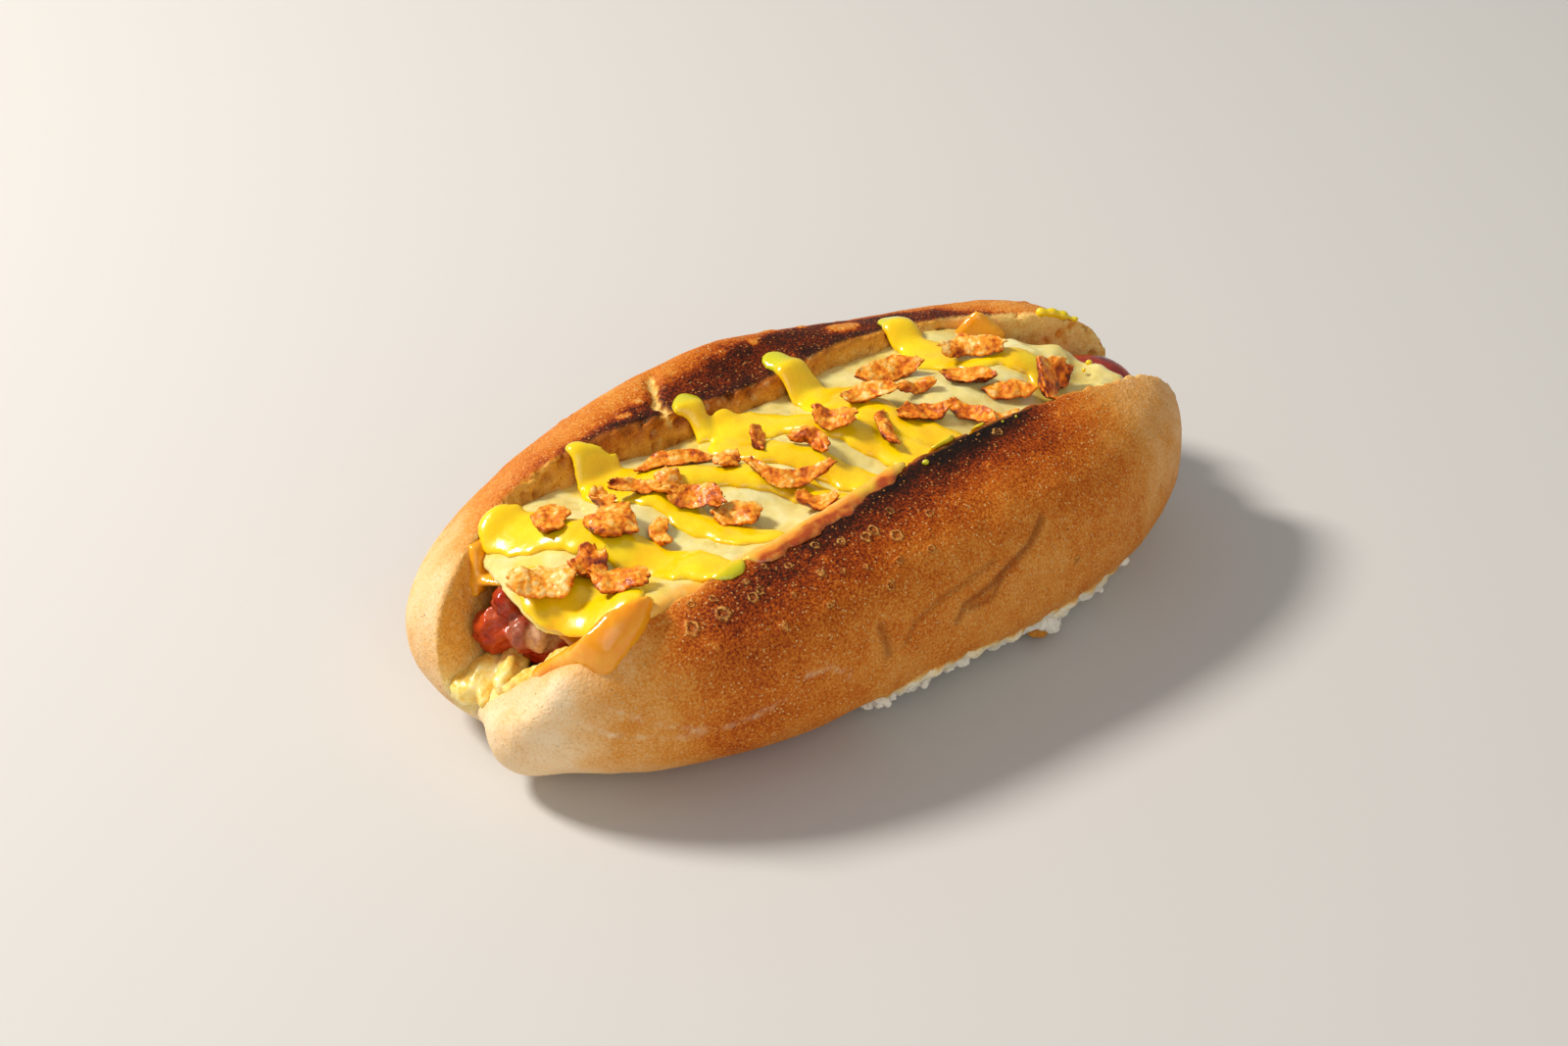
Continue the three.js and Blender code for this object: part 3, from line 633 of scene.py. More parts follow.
FOLDS = [
    ([(26.5, -47.6, 38.5), (21.2, -49.7, 34.9), (14, -50.9, 32.8), (7.8, -51.7, 30.3), (0.9, -51.7, 29),
      (-1.1, -52, 26)], 1.0, 1.0),
    ([(11.6, -51.2, 31.4), (8.9, -51.9, 27.8), (2.2, -51.9, 27.5)], 0.8, 0.9),
    ([(-21.2, -50.6, 32.6), (-20.4, -51.6, 28.9), (-20, -52, 25.6)], 1.1, 0.8),
    ([(-15.4, -51.9, 26.8), (-12.6, -51.5, 30.4), (-5.4, -51, 32.8), (1.7, -50.6, 33.9),
      (10.6, -49.9, 35.3)], 0.8, 0.6),
]
SCRATCHES = [
    [(-86.9, -25.4, 33.1), (-82.5, -31.2, 31.6), (-74.6, -38.8, 26.6), (-62.9, -44.6, 22)],
    [(-75.7, -38.3, 23), (-66.7, -43, 21), (-54.8, -47.2, 22.1), (-46.1, -49.2, 24.3)],
    [(-90.5, -21.5, 28.6), (-84.8, -30.6, 26.5), (-77.4, -37.2, 22.6)],
    [(-41.2, -49.6, 28.6), (-34.3, -50.6, 28.5), (-30.8, -51.3, 24.6)],
]
CRACK = [(-15.5, 40), (-18, 35), (-20.4, 29.9), (-21.5, 24)]
BACK_SCORCH = curve([(-64, -4), (-50, 1.5), (-36, 4.5), (-18, 9), (5, 13.5), (30, 13.5), (50, 10),
                     (64, 5), (78, -2), (90, -6)])
PATCHES = [(37, 34.7, 4.6, 2.4), (20, 43, 1.6, 1.5), (12, 38, 1.4, 1.6), (28, 40, 1.6, 1.0),
           (-30, 30, 2.2, 1.0), (-24, 33, 1.2, 0.8)]


def near_line(p, line, width):
    """1 on a line through a few points, falling to 0 about two widths off it."""
    best = np.full(len(p), 1e9)
    for a, b in zip(np.array(line[:-1], float), np.array(line[1:], float)):
        share = np.clip((p - a) @ (b - a) / ((b - a) @ (b - a)), 0, 1)
        best = np.minimum(best, np.linalg.norm(p - a - share[:, None] * (b - a), axis=1))
    return np.exp(-((best / width) ** 2))


# The roll
def bun_form():
    """The oval roll, cut open along its top and lowered at its near end, as in the CAD part."""

    def outer(dx, turn):
        up = np.sin(turn)
        power = np.where(up > 0, CROWN_POWER, BELLY_POWER)
        across = signed_power(np.cos(turn), 2 / power)
        upward = signed_power(up, 2 / power)
        x = LENGTH / 2 * dx
        half = np.where(up > 0, HEIGHT - WIDEST, WIDEST + SINK)
        rise = np.where(up > 0, upward * crown_rise(x, across), 0)
        z = np.maximum(WIDEST + half * rise_share(x) * upward + rise, 0)
        torn = np.where((z > 0.5) & (z < 14), torn_crumb(x, across, z) * np.sign(across), 0)
        y = WIDTH / 2 * plan_share(x) * across + torn
        return np.stack([x + pinch(x, y), y, z], -1)

    def slit(bx, by, bz):
        x = (LENGTH / 2 + 4) * bx
        lump = 6.5 * bump_at(x, -87, 6.5) * (1 - 0.5 * by * by)
        z = mix(FLOOR + lump, TOP, bz**1.3) + 2.5 * by**4 * (1 - bz)
        ragged = 0.5 * np.sin(0.55 * x + 1.3 * np.sin(0.21 * x)) + 0.3 * np.sin(1.37 * x + 2)
        front = wall_place(-1, x, z) - 0.4 * ragged
        back = wall_place(1, x, z) + ragged * ease(30, 44, z)
        return np.stack([x, mix(front, back, (by + 1) / 2), z], -1)

    def near(bx, by, bz):
        x = mix(-100, -68, (bx + 1) / 2)
        y = mix(-44, NEAR_LIP(x) + 3, (by + 1) / 2)
        ragged = 0.35 * np.sin(0.9 * x + 0.6 * y) * bump_at(y - NEAR_LIP(x), 0, 5)
        return np.stack([x, y, mix(near_height(x, y) + ragged, TOP, bz)], -1)

    bun = warped_sphere("bun_form", 240, 200, outer)
    bun = cut_out(bun, warped_box("slit_cutter", 150, 24, 28, slit))
    bun = cut_out(bun, warped_box("near_cutter", 60, 70, 6, near))
    bun = remesh(bun, BREAD_CELL, smooth=3)
    x, y, z = points_of(bun).T
    return soften(bun, ease(-62, -72, x) * ease(4, 0, y) * ease(8, 14, z), 30)


def front_bake(x, z, beyond, noise):
    """How far the front is baked: scorched below the lip at the middle, tan lower down, pale at the ends, and paler
    still high on the far end, partly as painted light.
    """
    uneven = 1 + 0.25 * noise(11, 47)
    # Paler at both ends as the crust's own colour; the far end's upper front is paler still, partly as painted light
    # where the lamp falls.
    ends = 0.14 * ease(52, 84, x) * ease(12, 34, z) + 0.09 * ease(-56, -70, x) + 0.19 * ease(-77, -91, x)
    tan = mix(0.03, 1, ease(1.5, 17, z)) * (0.33 - ends)
    edge = 2.6 * ease(14, -2, x)
    black = ease(-30, 2, x) * ease(48, 34, x) * bump_at(beyond, edge, (2.6 + 2.6 * ease(-4, 14, x)) * uneven)
    dark = ease(-56, -38, x) * ease(48, 26, x) * bump_at(np.maximum(0, beyond - edge), 0, 9 * uneven)
    brown = ease(-76, -52, x) * ease(68, 36, x) * bump_at(np.maximum(0, beyond - 7), 0, 12)
    glow = ease(-74, -64, x) * ease(18, 2, x) * bump_at(beyond - 0.2, 0, 2.6 + 0.6 * noise(6, 48))
    return mix(tan + 0.36 * black + 0.2 * dark + 0.28 * brown, 0.35, 0.9 * glow)


def back_bake(x, z, beyond, noise):
    """How far the back is baked: burnt in a band over the lip, and plain tan outside it."""
    reach = BACK_SCORCH(x) + 1.6 * noise(7, 43) + 0.8 * noise(2.5, 45)
    scorch = ease(reach + 2.2, reach - 2.2, beyond) * ease(-2, 2, reach)
    tan = mix(0.03, 1, ease(1.5, 17, z)) * (0.36 - 0.25 * ease(-52, -88, x) - 0.06 * ease(70, 90, x))
    near_edge = 0.14 * ease(-88, -70, x) * ease(-40, -56, x) * bump_at(np.maximum(0, beyond), 0, 6)
    warm = 0.1 * ease(-60, -30, x) * ease(88, 66, x) * bump_at(np.maximum(0, beyond - reach), 0, 5)
    inner_edge = 0.1 * ease(-40, -24, x) * ease(56, 40, x) * bump_at(beyond, 0, 3)
    return mix(tan + warm + near_edge, 0.77 + 0.05 * noise(4, 46) + inner_edge, scorch)


def wall_toast(x, y, z, pore_shade, noise):
    """How far the inner walls are toasted: golden, darker along the back's rim, pale at the near end, with painted
    shade darkening the pores.
    """
    toast = 0.30 + 0.08 * ease(14, 34, z) + 0.24 * ease(41, 47, z) * ease(-56, -44, x) * ease(70, 50, x)
    toast = toast + 0.06 * ease(-30, -20, x) * ease(20, 10, x) - 0.1 * ease(46, 70, x)
    # Painted shade: the walls are darkened in the pores' hollows.
    toast = toast + 0.16 * pore_shade * ease(-66, -56, x) - 0.05 * noise(2.2, 49)
    toast = mix(toast, 0.2, ease(-66, -78, x) * ease(4, -6, y))
    toast = mix(toast, 0.36, ease(-64, -72, x) * ease(2, 8, y))
    return mix(toast, 0.16, ease(-74, -84, x) * ease(22, 15, z))


def build_bun():
    bun = bun_form()
    p = points_of(bun)
    noise = noise_on(p)
    x, y, z = p.T
    outside = np.maximum(wall_place(-1, x, z) - y, y - wall_place(1, x, z))
    outside = np.maximum(outside, FLOOR - z)
    crumb = 1 - ease(0.35, 1.5, outside)
    crumb = np.where(z > crown_height(x, y) - 0.1, crumb * 0.5, crumb)
    crust = 1 - crumb
    front = y < 0
    white = np.where(front, ease(-26, -14, x) * ease(60, 46, x), ease(-50, -40, x) * ease(34, 24, x))
    edge = np.where(front, 13 + 2.4 * bump_at(x, -6, 16), 9.5) + 1.5 * noise(6, 5) + 0.7 * noise(2.4, 6)
    white = white * ease(edge + 0.7, edge - 0.7, z) * ease(0.2, 1.6, z) * (np.abs(y) > 20)

    # Relief
    holes, kind = cells(p / 3.4 + 0.3 * noise(2.6, 9)[:, None], 3)
    crater = -1.5 * ease(0.46, 0.16, holes) * (kind > 0.35)
    inner = (0.7 * layered_noise(p / 6, 3, 21) + crater) * mix(1, 0.25, ease(-70, -80, x) * ease(0, 6, y))
    blister, which = cells(p / 3.4, 8)
    raised = 0.3 * ease(0.4, 0.1, blister) * (which > 0.86) * ease(16, 30, z)
    dome = np.zeros(len(p))
    for bx, by, bz, radius in BLISTERS:
        dome = np.maximum(dome, ease(radius + 0.8, 0.4 * radius, away_from(p, (bx, by, bz))))
    fold = sum(near_line(p, line, width) * depth for line, width, depth in FOLDS)
    chin = 3.4 * np.exp(-(((x + 90) / 8) ** 2) - ((y + 13) / 9) ** 2 - ((z - 9) / 8) ** 2)
    swerved = p + 0.7 * noise(3, 14)[:, None]
    scratch = np.clip(sum(near_line(swerved, line, 0.42) for line in SCRATCHES), 0, 1)
    jagged = (p + 1.7 * noise(3, 15)[:, None])[:, :2]
    crack = near_line(jagged, CRACK, 1.3 + 0.5 * noise(2, 18)) * ease(41, 44, z)
    patch = np.zeros(len(p))
    for px, py, rx, ry in PATCHES:
        away = np.hypot((x - px) / rx, (y - py) / ry) + 0.22 * noise(2.2, 16)
        patch = np.maximum(patch, ease(1.15, 0.85, away) * (z > 30))
    outer_relief = 0.45 * noise(26, 1) + 0.2 * noise(9, 2) + 0.07 * layered_noise(p / 2.6, 2, 4) + raised
    outer_relief = outer_relief + chin + 0.4 * dome - 0.7 * fold - 1.6 * crack
    outer_relief = outer_relief + patch * (0.25 + 0.3 * noise(1.7, 17))
    fibres = 1.6 * layered_noise(p / np.array([4.5, 3, 2.4]), 3, 31) + 0.5
    height = crust * (1 - white) * outer_relief + crumb * inner * ease(0, 6, z) + white * fibres
    height = height * np.where(z < 0.35, 0, 1)
    push_out(bun, height)

    # How far each place is baked, from 0, pale, to 1, burnt, partly with painted light high on the far end, and the
    # bare crumb toasted, with painted shade in its pores
    bake = mix(front_bake(x, z, -y - FRONT_LIP(x), noise), back_bake(x, z, y - BACK_LIP(x), noise), ease(-3, 3, y))
    bake = bake + 0.05 * noise(16, 41) + 0.045 * noise(5, 42)
    bake = bake - 0.2 * raised / 0.3 * (bake > 0.5)
    bake = mix(bake, 0.33 + 0.2 * noise(1.5, 44), patch)
    crack_light = ease(0.35, 0.7, crack)
    toast = wall_toast(x, y, z, ease(0.42, 0.16, holes) * (kind > 0.35), noise)
    toast = mix(toast, 0.12 * ease(6, 13, z) - 0.05, white)
    toast = mix(toast, 0.28 + 0.12 * noise(1.8, 19), crack_light)
    add_mark(bun, "bake", bake)
    add_mark(bun, "crumb", np.clip(np.maximum(np.maximum(crumb, white), crack_light), 0, 1))
    add_mark(bun, "toast", toast)
    add_mark(bun, "pale", mix(0.45, 0.9, ease(-66, -80, x)) * scratch)
    # The folds' mask, which the material uses to paint shade into the creases.
    add_mark(bun, "fold", np.clip(fold, 0, 1) * (y < 0))
    bread = bread_material()
    finish_piece(bun, "roll", bread, "bread", "bun")
    return bread


def blob(name, centre, radii, lean=(0, 0, 0), around=32, along=24):
    """A squarish rounded lump, turned by lean degrees about X, Y and Z."""
    turned = np.array(Euler([math.radians(a) for a in lean]).to_matrix())

    def place(dx, turn):
        ring = np.sqrt(np.maximum(0, 1 - dx**2))
        across, upward = signed_power(np.cos(turn), 0.8), signed_power(np.sin(turn), 0.8)
        local = np.stack([dx * radii[0], across * ring * radii[1], upward * ring * radii[2]], -1)
        return local @ turned.T + np.array(centre)

    return warped_sphere(name, around, along, place)


def build_hinge_crumb():
    """Soft crumb torn where the two halves hang together, pressed up along the front wall."""
    lumps = [
        ((-88.5, 4.5, 14.5), (5.5, 4.6, 3.8), (0, 24, 12)), ((-85, 3.4, 16.6), (7.0, 4.4, 3.4), (12, -10, 30)),
        ((-79.5, 1.6, 19.2), (6.5, 3.0, 3.2), (24, -12, 38)), ((-86, 8.4, 16.4), (5.5, 2.6, 2.6), (-25, 8, -22)),
        ((-83.4, -2.2, 19.5), (6.0, 2.0, 3.6), (-18, -10, 34)), ((-87.3, 0.6, 15.5), (5.0, 2.0, 2.8), (-10, 5, 42)),
    ]

    def pad(bx, by, bz):
        x = mix(-87, -68, (bx + 1) / 2)
        z = mix(13, np.minimum(36, NEAR_HEIGHT(x) - 1.5), (by + 1) / 2)
        thick = 3.4 + 1.6 * bump_at(x, -77, 5) + 0.7 * np.sin(0.9 * x + 0.3 * z)
        thick = thick * (0.2 + 0.8 * pillow(bx, by))
        return np.stack([x, wall_place(-1, x, z) + mix(-1.5, thick, bz), z], -1)

    obj = joined([blob("lump", *lump) for lump in lumps] + [warped_box("pad", 44, 40, 3, pad)])
    obj = remesh(obj, HINGE_CELL, smooth=5)
    p = points_of(obj)
    along = p @ np.array([[0.79, -0.61, 0], [0.61, 0.79, 0], [0, 0, 1]])
    height = 0.6 * layered_noise(along / np.array([11, 2.4, 3.0]), 2, 111) + 0.12 * soft_noise(p / 1.6, 114)
    push_out(obj, height)
    finish_piece(obj, "hinge_crumb", crumb_material(), "bread")


def build_torn_edge(bread):
    """White crumb hanging in shreds from the lower front edge, where the roll was pulled off its neighbour."""
    lumps = []
    for i, x in enumerate(np.linspace(-18, 62, 64)):
        pull = 0.5 + 0.5 * float(soft_noise(np.array([[x / 6.0, 0.3, 0.7]]), 151)[0])
        out = 1.2 + 2.0 * pull + 1.4 * float(ease(18, 34, x))
        z = 4.6 + 2.0 * math.sin(i * 1.9) + 1.2 * math.sin(i * 0.7 + 1)
        edge = -float(belly_place(x, z))
        radii = (1.3 + 0.9 * math.sin(i * 2.3) ** 2, 1.0 + 0.7 * out, 0.9 + 1.0 * pull)
        lean = (20 * math.sin(i * 1.3), 25 * math.sin(i * 2.9), 40 * math.sin(i * 1.7))
        lumps.append(blob("shred", (x, edge + 0.8 - 0.3 * out, z), radii, lean, 16, 12))
    obj = remesh(joined(lumps), TORN_CELL, smooth=6)
    p = points_of(obj)
    fibres = 0.8 * layered_noise(p / np.array([3.0, 2.2, 2.0]), 4, 131) + 0.35 * soft_noise(p / 0.8, 135) - 0.1
    push_out(obj, fibres)
    add_mark(obj, "crumb", np.ones(len(p)))
    add_mark(obj, "toast", 0.08 * ease(5, 11, p[:, 2]) - 0.06)
    finish_piece(obj, "torn_edge", bread, "bread")
    bits = [((31.8, -43.6, 3.0), (2.6, 1.8, 1.7), (10, 20, 30)), ((35.0, -43.0, 3.6), (1.8, 1.6, 1.5), (0, 0, -20)),
            ((29.2, -43.9, 3.9), (1.5, 1.4, 1.2), (0, 30, 0))]
    obj = remesh(joined([blob("bit", *bit) for bit in bits]), BIT_CELL, smooth=2)
    p = points_of(obj)
    push_out(obj, 0.5 * layered_noise(p / 1.6, 2, 121))
    add_mark(obj, "crumb", np.ones(len(p)))
    add_mark(obj, "toast", 0.5 + 0.12 * soft_noise(p / 2, 122))
    finish_piece(obj, "loose_crumb", bread, "bread")


# The sausage
def build_sausage():
    middle, half = (SAUSAGE_NEAR + SAUSAGE_FAR) / 2, (SAUSAGE_FAR - SAUSAGE_NEAR) / 2

    def body(dx, turn):
        end = np.abs(dx)
        pucker = 1 - 0.07 * ease(-0.86, -0.97, dx) * (1 + np.cos(6 * turn))
        pucker = pucker - 0.05 * ease(-0.8, -0.97, dx) * np.cos(13 * turn + 9 * dx)
        radius = SAUSAGE_RADIUS * (1 - end ** np.where(dx > 0, 14, 10)) ** 0.46 * pucker
        x = middle + half * dx
        axis = FLOOR + GAP + SAUSAGE_RADIUS - ease(50, 90, x)
        return np.stack([x, sausage_centre(x) + radius * np.cos(turn), axis + radius * np.sin(turn)], -1)

    def knot(dx, turn):
        ring = 1.1 * np.sqrt(1 - dx**2) * (1 + 0.12 * np.sin(5 * turn + 3 * dx) + 0.06 * np.sin(9 * turn - 4 * dx))
        z = FLOOR + SAUSAGE_RADIUS + 0.5 + 4.8 * ring * np.sin(turn)
        return np.stack([SAUSAGE_NEAR - 1 + 4.6 * dx, 7 + 4.4 * ring * np.cos(turn), z], -1)

    folds = [blob("fold", (-79, -1.5, 28.5), (3.4, 3.2, 4.4), (0, 15, 10)),
             blob("rim", (-76.8, -5.6, 29), (2.0, 1.7, 4.6), (12, 10, 20)),
             blob("casing", (-79, 4.5, 33.5), (3.2, 4.0, 3.0), (20, 25, -15))]
    obj = joined([warped_sphere("body", 90, 220, body), warped_sphere("knot", 48, 32, knot), *folds])
    obj = remesh(obj, SAUSAGE_CELL, smooth=2)
    p = points_of(obj)
    near = ease(-62, -74, p[:, 0])
    wrinkle = np.abs(soft_noise(p / np.array([6, 2.2, 2.2]), 51))
    height = 0.15 * soft_noise(p / 7, 52) + 0.35 * near * soft_noise(p / 1.8, 53)
    height = height - 1.2 * near * (0.5 - wrinkle) * (wrinkle < 0.5)
    push_out(obj, height)
    pale = ease(4.8, 3.6, away_from(p, (-76.5, -6.2, 29.2), (1, 0.8, 1.2)))
    pale = np.maximum(pale, 0.22 * ease(4.6, 3.4, away_from(p, (-79, -1.5, 28.5))))
    add_mark(obj, "pale", pale + 0.15 * near * ease(0.3, 0.1, wrinkle) * (p[:, 2] > 30))
    add_mark(obj, "bright", ease(8.2, 5.2, away_from(p, (-82.5, 7, 25))))
    finish_piece(obj, "frankfurter", sausage_material(), "sausage", "sausage")


# The cheeses
def layer_form(name, near_end, far_end, top, thick):
    """A layer between the slit's walls, with its ends by side and its top by place."""

    def place(bx, by, bz):
        x = mix(near_end(by), far_end(by), (bx + 1) / 2)
        y = mix(wall_place(-1, x, 44) - 1.4, wall_place(1, x, 40) + 1.2, (by + 1) / 2)
        rim = np.minimum(ease(1, 0.975, np.abs(bx)), ease(1, 0.95, np.abs(by)))
        mid = top(x, y) - thick / 2
        return np.stack([x, y, mid + (bz - 0.5) * thick * (0.35 + 0.65 * rim)], -1)

    return warped_box(name, 170, 64, 2, place)


def build_pale_cheese():
    def lumps(x, y):
        return 1.1 * ease(60, 72, x) * np.sin(x * 0.45 + 0.7) * np.cos(y * 0.35 + 0.5)

    def near_end(by):
        return -81 + np.where(by < 0, 15, 5) * by * by

    def far_end(by):
        return 77 - 6 * by - by * by + np.sin(7 * by)

    def top(x, y):
        return cheese_top(x, y) + lumps(x, y) - 2.2 * ease(-77, -83, x)

    melted = [(-42, -28.6, 1.2), (-38, -28.9, 2.3), (-32, -28.2, 3.0), (-24, -28.0, 2.3),
              (-16, -26.6, 3.0), (-8, -25.8, 2.2), (0, -24.2, 2.4), (7, -23.4, 1.0)]
    obj = joined([layer_form("pale", near_end, far_end, top, PALE_THICK), strand(melted, 5, 0.8)])
    obj = remesh(obj, CHEESE_CELL, smooth=4)
    p = points_of(obj)
    x, y, z = p.T
    far = ease(56, 68, x)
    lumpy = 0.7 * soft_noise(p / 5, 63) + 0.35 * soft_noise(p / 2.4, 64)
    height = 0.45 * soft_noise(p / 10, 61) + 0.22 * soft_noise(p / 4, 62) + far * lumpy
    push_out(obj, height)
    lip = y + FRONT_LIP(x) + 1.2 * soft_noise(p / 7, 65) + 0.6 * soft_noise(p / 2.5, 68)
    toast = (ease(5.5, 1, lip) + ease(0.6, -2.8, lip)) * ease(-73, -63, x) * ease(18, 6, x)
    add_mark(obj, "toast", toast)
    away = mustard_away(x, y) + 1.1 * soft_noise(p / 5, 66) + 0.5 * soft_noise(p / 2, 67)
    add_mark(obj, "stain", ease(2.6, 0.2, away))
    material = cheese_material("pale_cheese", "dcc468", "ecdc8c", "f5ecb0", "ffb43c", 0.16)
    finish_piece(obj, "melted_cheese", material, "pale_cheese", "pale_cheese")


def build_orange_cheese():
    def near_end(by):
        return -76 + np.where(by > 0, -8, 3) * by * by

    def droop(x, y):
        return 3 * ease(-62, -76, x) * ease(2, -14, y)

    def tongue(bx, by, bz):
        along = (bx + 1) / 2
        x = mix(-85.5, -62, along)
        y = mix(TONGUE_OUTER(along), TONGUE_INNER(along), (by + 1) / 2)
        ground = np.minimum(np.minimum(crown_height(x, y), wall_height(x, y)), near_height(x, y))
        fat = (2.0 + 2.8 * ease(-22, -28, y)) * (0.2 + 0.9 * pillow(bx, by))
        return np.stack([x, y, mix(ground - 1.5, ground + fat + GAP, bz)], -1)

    def strip(bx, by, bz):
        x = mix(-80.5, -76, (bx + 1) / 2) + 1.5 * by
        z = mix(30, 40, (by + 1) / 2)
        return np.stack([x, wall_place(1, x, z) - mix(-1, 1.8 * (0.2 + 0.8 * pillow(bx, by)), bz), z], -1)

    def corner(dx, turn):
        ring = np.sqrt(1 - dx**2)
        x = 64 + 6.5 * dx
        y = wall_place(1, x, 40) - 3 + 2 * ring * np.cos(turn)
        return np.stack([x, y, 38.5 + 7.6 * ring * np.sin(turn) * (1 - 0.62 * np.abs(dx))], -1)

    def top(x, y):
        return cheese_top(x, y) - PALE_THICK - LAYER_GAP - droop(x, y)

    obj = joined([layer_form("slice", near_end, lambda by: 72 - 3 * by, top, SLICE_THICK),
                  warped_box("tongue", 60, 60, 3, tongue), warped_sphere("corner", 32, 32, corner),
                  warped_box("strip", 24, 40, 3, strip)])
    obj = remesh(obj, CHEESE_CELL, smooth=4)
    p = points_of(obj)
    push_out(obj, 0.3 * soft_noise(p / 8, 71))
    add_mark(obj, "toast", np.zeros(len(p)))
    add_mark(obj, "stain", np.zeros(len(p)))
    material = cheese_material("orange_cheese", "ff9400", "ffa814", "ffbe34", "d47a1c", 0.14)
    finish_piece(obj, "cheese_slice", material, "orange_cheese", "orange_cheese")


# Mustard: each run is a row of (x, y, half width) in plan, from the back lip towards the front one.
MUSTARD_RUNS = [
    [(-72, 23.5, 2.8), (-70, 16.5, 5.4), (-66, 9.5, 4.4), (-60, 0, 3.5), (-54, -10, 3.4), (-50, -18, 3.7),
     (-46.5, -26, 3.2), (-44.5, -31, 3.0), (-43.8, -33, 2.8)],
    [(-74, 3.0, 2.4), (-76.4, -2.8, 3.2), (-75.6, -10.5, 3.7), (-71, -18, 4.4), (-62, -24, 3.2)],
    [(-73.5, -7.5, 2.2), (-67, -13, 3.2), (-60, -17.5, 3.0)],
    [(-46.5, 28.5, 2.6), (-45.5, 24, 2.9), (-43, 18, 4.4), (-37, 12, 3.4), (-30, 5, 2.3), (-20, -2, 2.3),
     (-12, -11, 2.6), (-7, -25, 2.6)],
    [(-47, 22, 3.2), (-45, 12, 2.8), (-40, 3, 2.4), (-37, -9, 2.6), (-32, -18, 3.0), (-26, -25, 2.4)],
    [(-17.5, 29, 2.6), (-15.5, 26, 3.0), (-15, 22, 1.5), (-15.5, 17, 2.6)],
    [(-16, 17, 3.2), (-9, 16.5, 3.8), (-1, 12, 3.2), (5, 4, 2.7), (10, -4, 2.4), (14, -14, 2.6), (17, -24.5, 2.2)],
    [(-17, 16, 2.8), (-14, 10, 3.0), (-10, 3, 2.6), (-4, -5, 2.5), (0, -13, 2.6), (5, -24, 2.4)],
    [(11, 33, 3.4), (13, 28.5, 3.2), (14, 22, 3.0), (15.5, 14, 4.4), (18.5, 5, 3.2), (21, -6, 2.5),
     (27, -16, 2.6), (30, -24, 2.0)],
    [(5, 5, 2.0), (11, -4, 2.2), (16, -12, 2.4), (21, -24, 2.0)],
    [(45.5, 33, 2.8), (47, 28.5, 2.8), (46.5, 21, 3.0), (47, 13, 4.0), (51, 6, 3.2), (57, 1, 2.6),
     (61, -6, 2.2), (58, -13, 2.0)],
]

# Steps along a run, and how deep it goes into what it lies on
RUN_STEPS, RUN_DEPTH = 400, 1.3

# Small drops beside the runs: (x, y, radius)
MUSTARD_DROPS = [(10, -27, 1.0), (34, -25, 0.6), (38, -25, 0.5), (76, -8.5, 1.0), (72.5, -10.5, 0.8),
                 (79.5, 12.3, 1.3), (82, 11.2, 1.4), (84.5, 9.8, 1.3), (87, 8.2, 1.1)]


def mustard_ground(x, y):
    inside = np.minimum(ease(-0.5, 2.5, y + FRONT_LIP(x)), ease(-0.5, 6.5, BACK_LIP(x) - y))
    return mix(crown_height(x, y), cheese_top(x, y), inside)


def run_pieces(x, y):
    """For each straight piece of the runs, how far the places are from its middle line, and its half width."""
    for run in MUSTARD_RUNS:
        for (x0, y0, w0), (x1, y1, w1) in zip(run, run[1:]):
            along = (x - x0) * (x1 - x0) + (y - y0) * (y1 - y0)
            share = np.clip(along / ((x1 - x0) ** 2 + (y1 - y0) ** 2), 0, 1)
            yield np.hypot(x - mix(x0, x1, share), y - mix(y0, y1, share)), mix(w0, w1, share)


def mustard_over(x, y):
    """How high the mustard lies over its ground, and a little beside it."""
    most = np.zeros(np.shape(x))
    for away, half in run_pieces(x, y):
        most = np.maximum(most, MUSTARD_HEIGHT * np.sqrt(np.maximum(0, 1 - (away / (half + 0.8)) ** 2)))
    return most


def mustard_away(x, y):
    """How far a place in plan is from the mustard's edge."""
    return np.min([away - half for away, half in run_pieces(x, y)], axis=0)


def smooth_path(points, count):
    """count points along a smooth curve through the given ones, evenly spaced."""
    pts = np.array(points, float)
    pad = np.concatenate([[2 * pts[0] - pts[1]], pts, [2 * pts[-1] - pts[-2]]])
    fine = []
    for i in range(1, len(pad) - 2):
        t = np.linspace(0, 1, 30, endpoint=i == len(pad) - 3)[:, None]
        a, b, c, d = pad[i - 1], pad[i], pad[i + 1], pad[i + 2]
        bend, twist = 2 * a - 5 * b + 4 * c - d, 3 * b - a - 3 * c + d
        fine.append(0.5 * (2 * b + (c - a) * t + bend * t**2 + twist * t**3))
    fine = np.concatenate(fine)
    length = np.concatenate([[0], np.cumsum(np.linalg.norm(np.diff(fine[:, :2], axis=0), axis=1))])
    at = np.linspace(0, length[-1], count)
    return np.stack([np.interp(at, length, fine[:, k]) for k in range(pts.shape[1])], -1), length[-1]


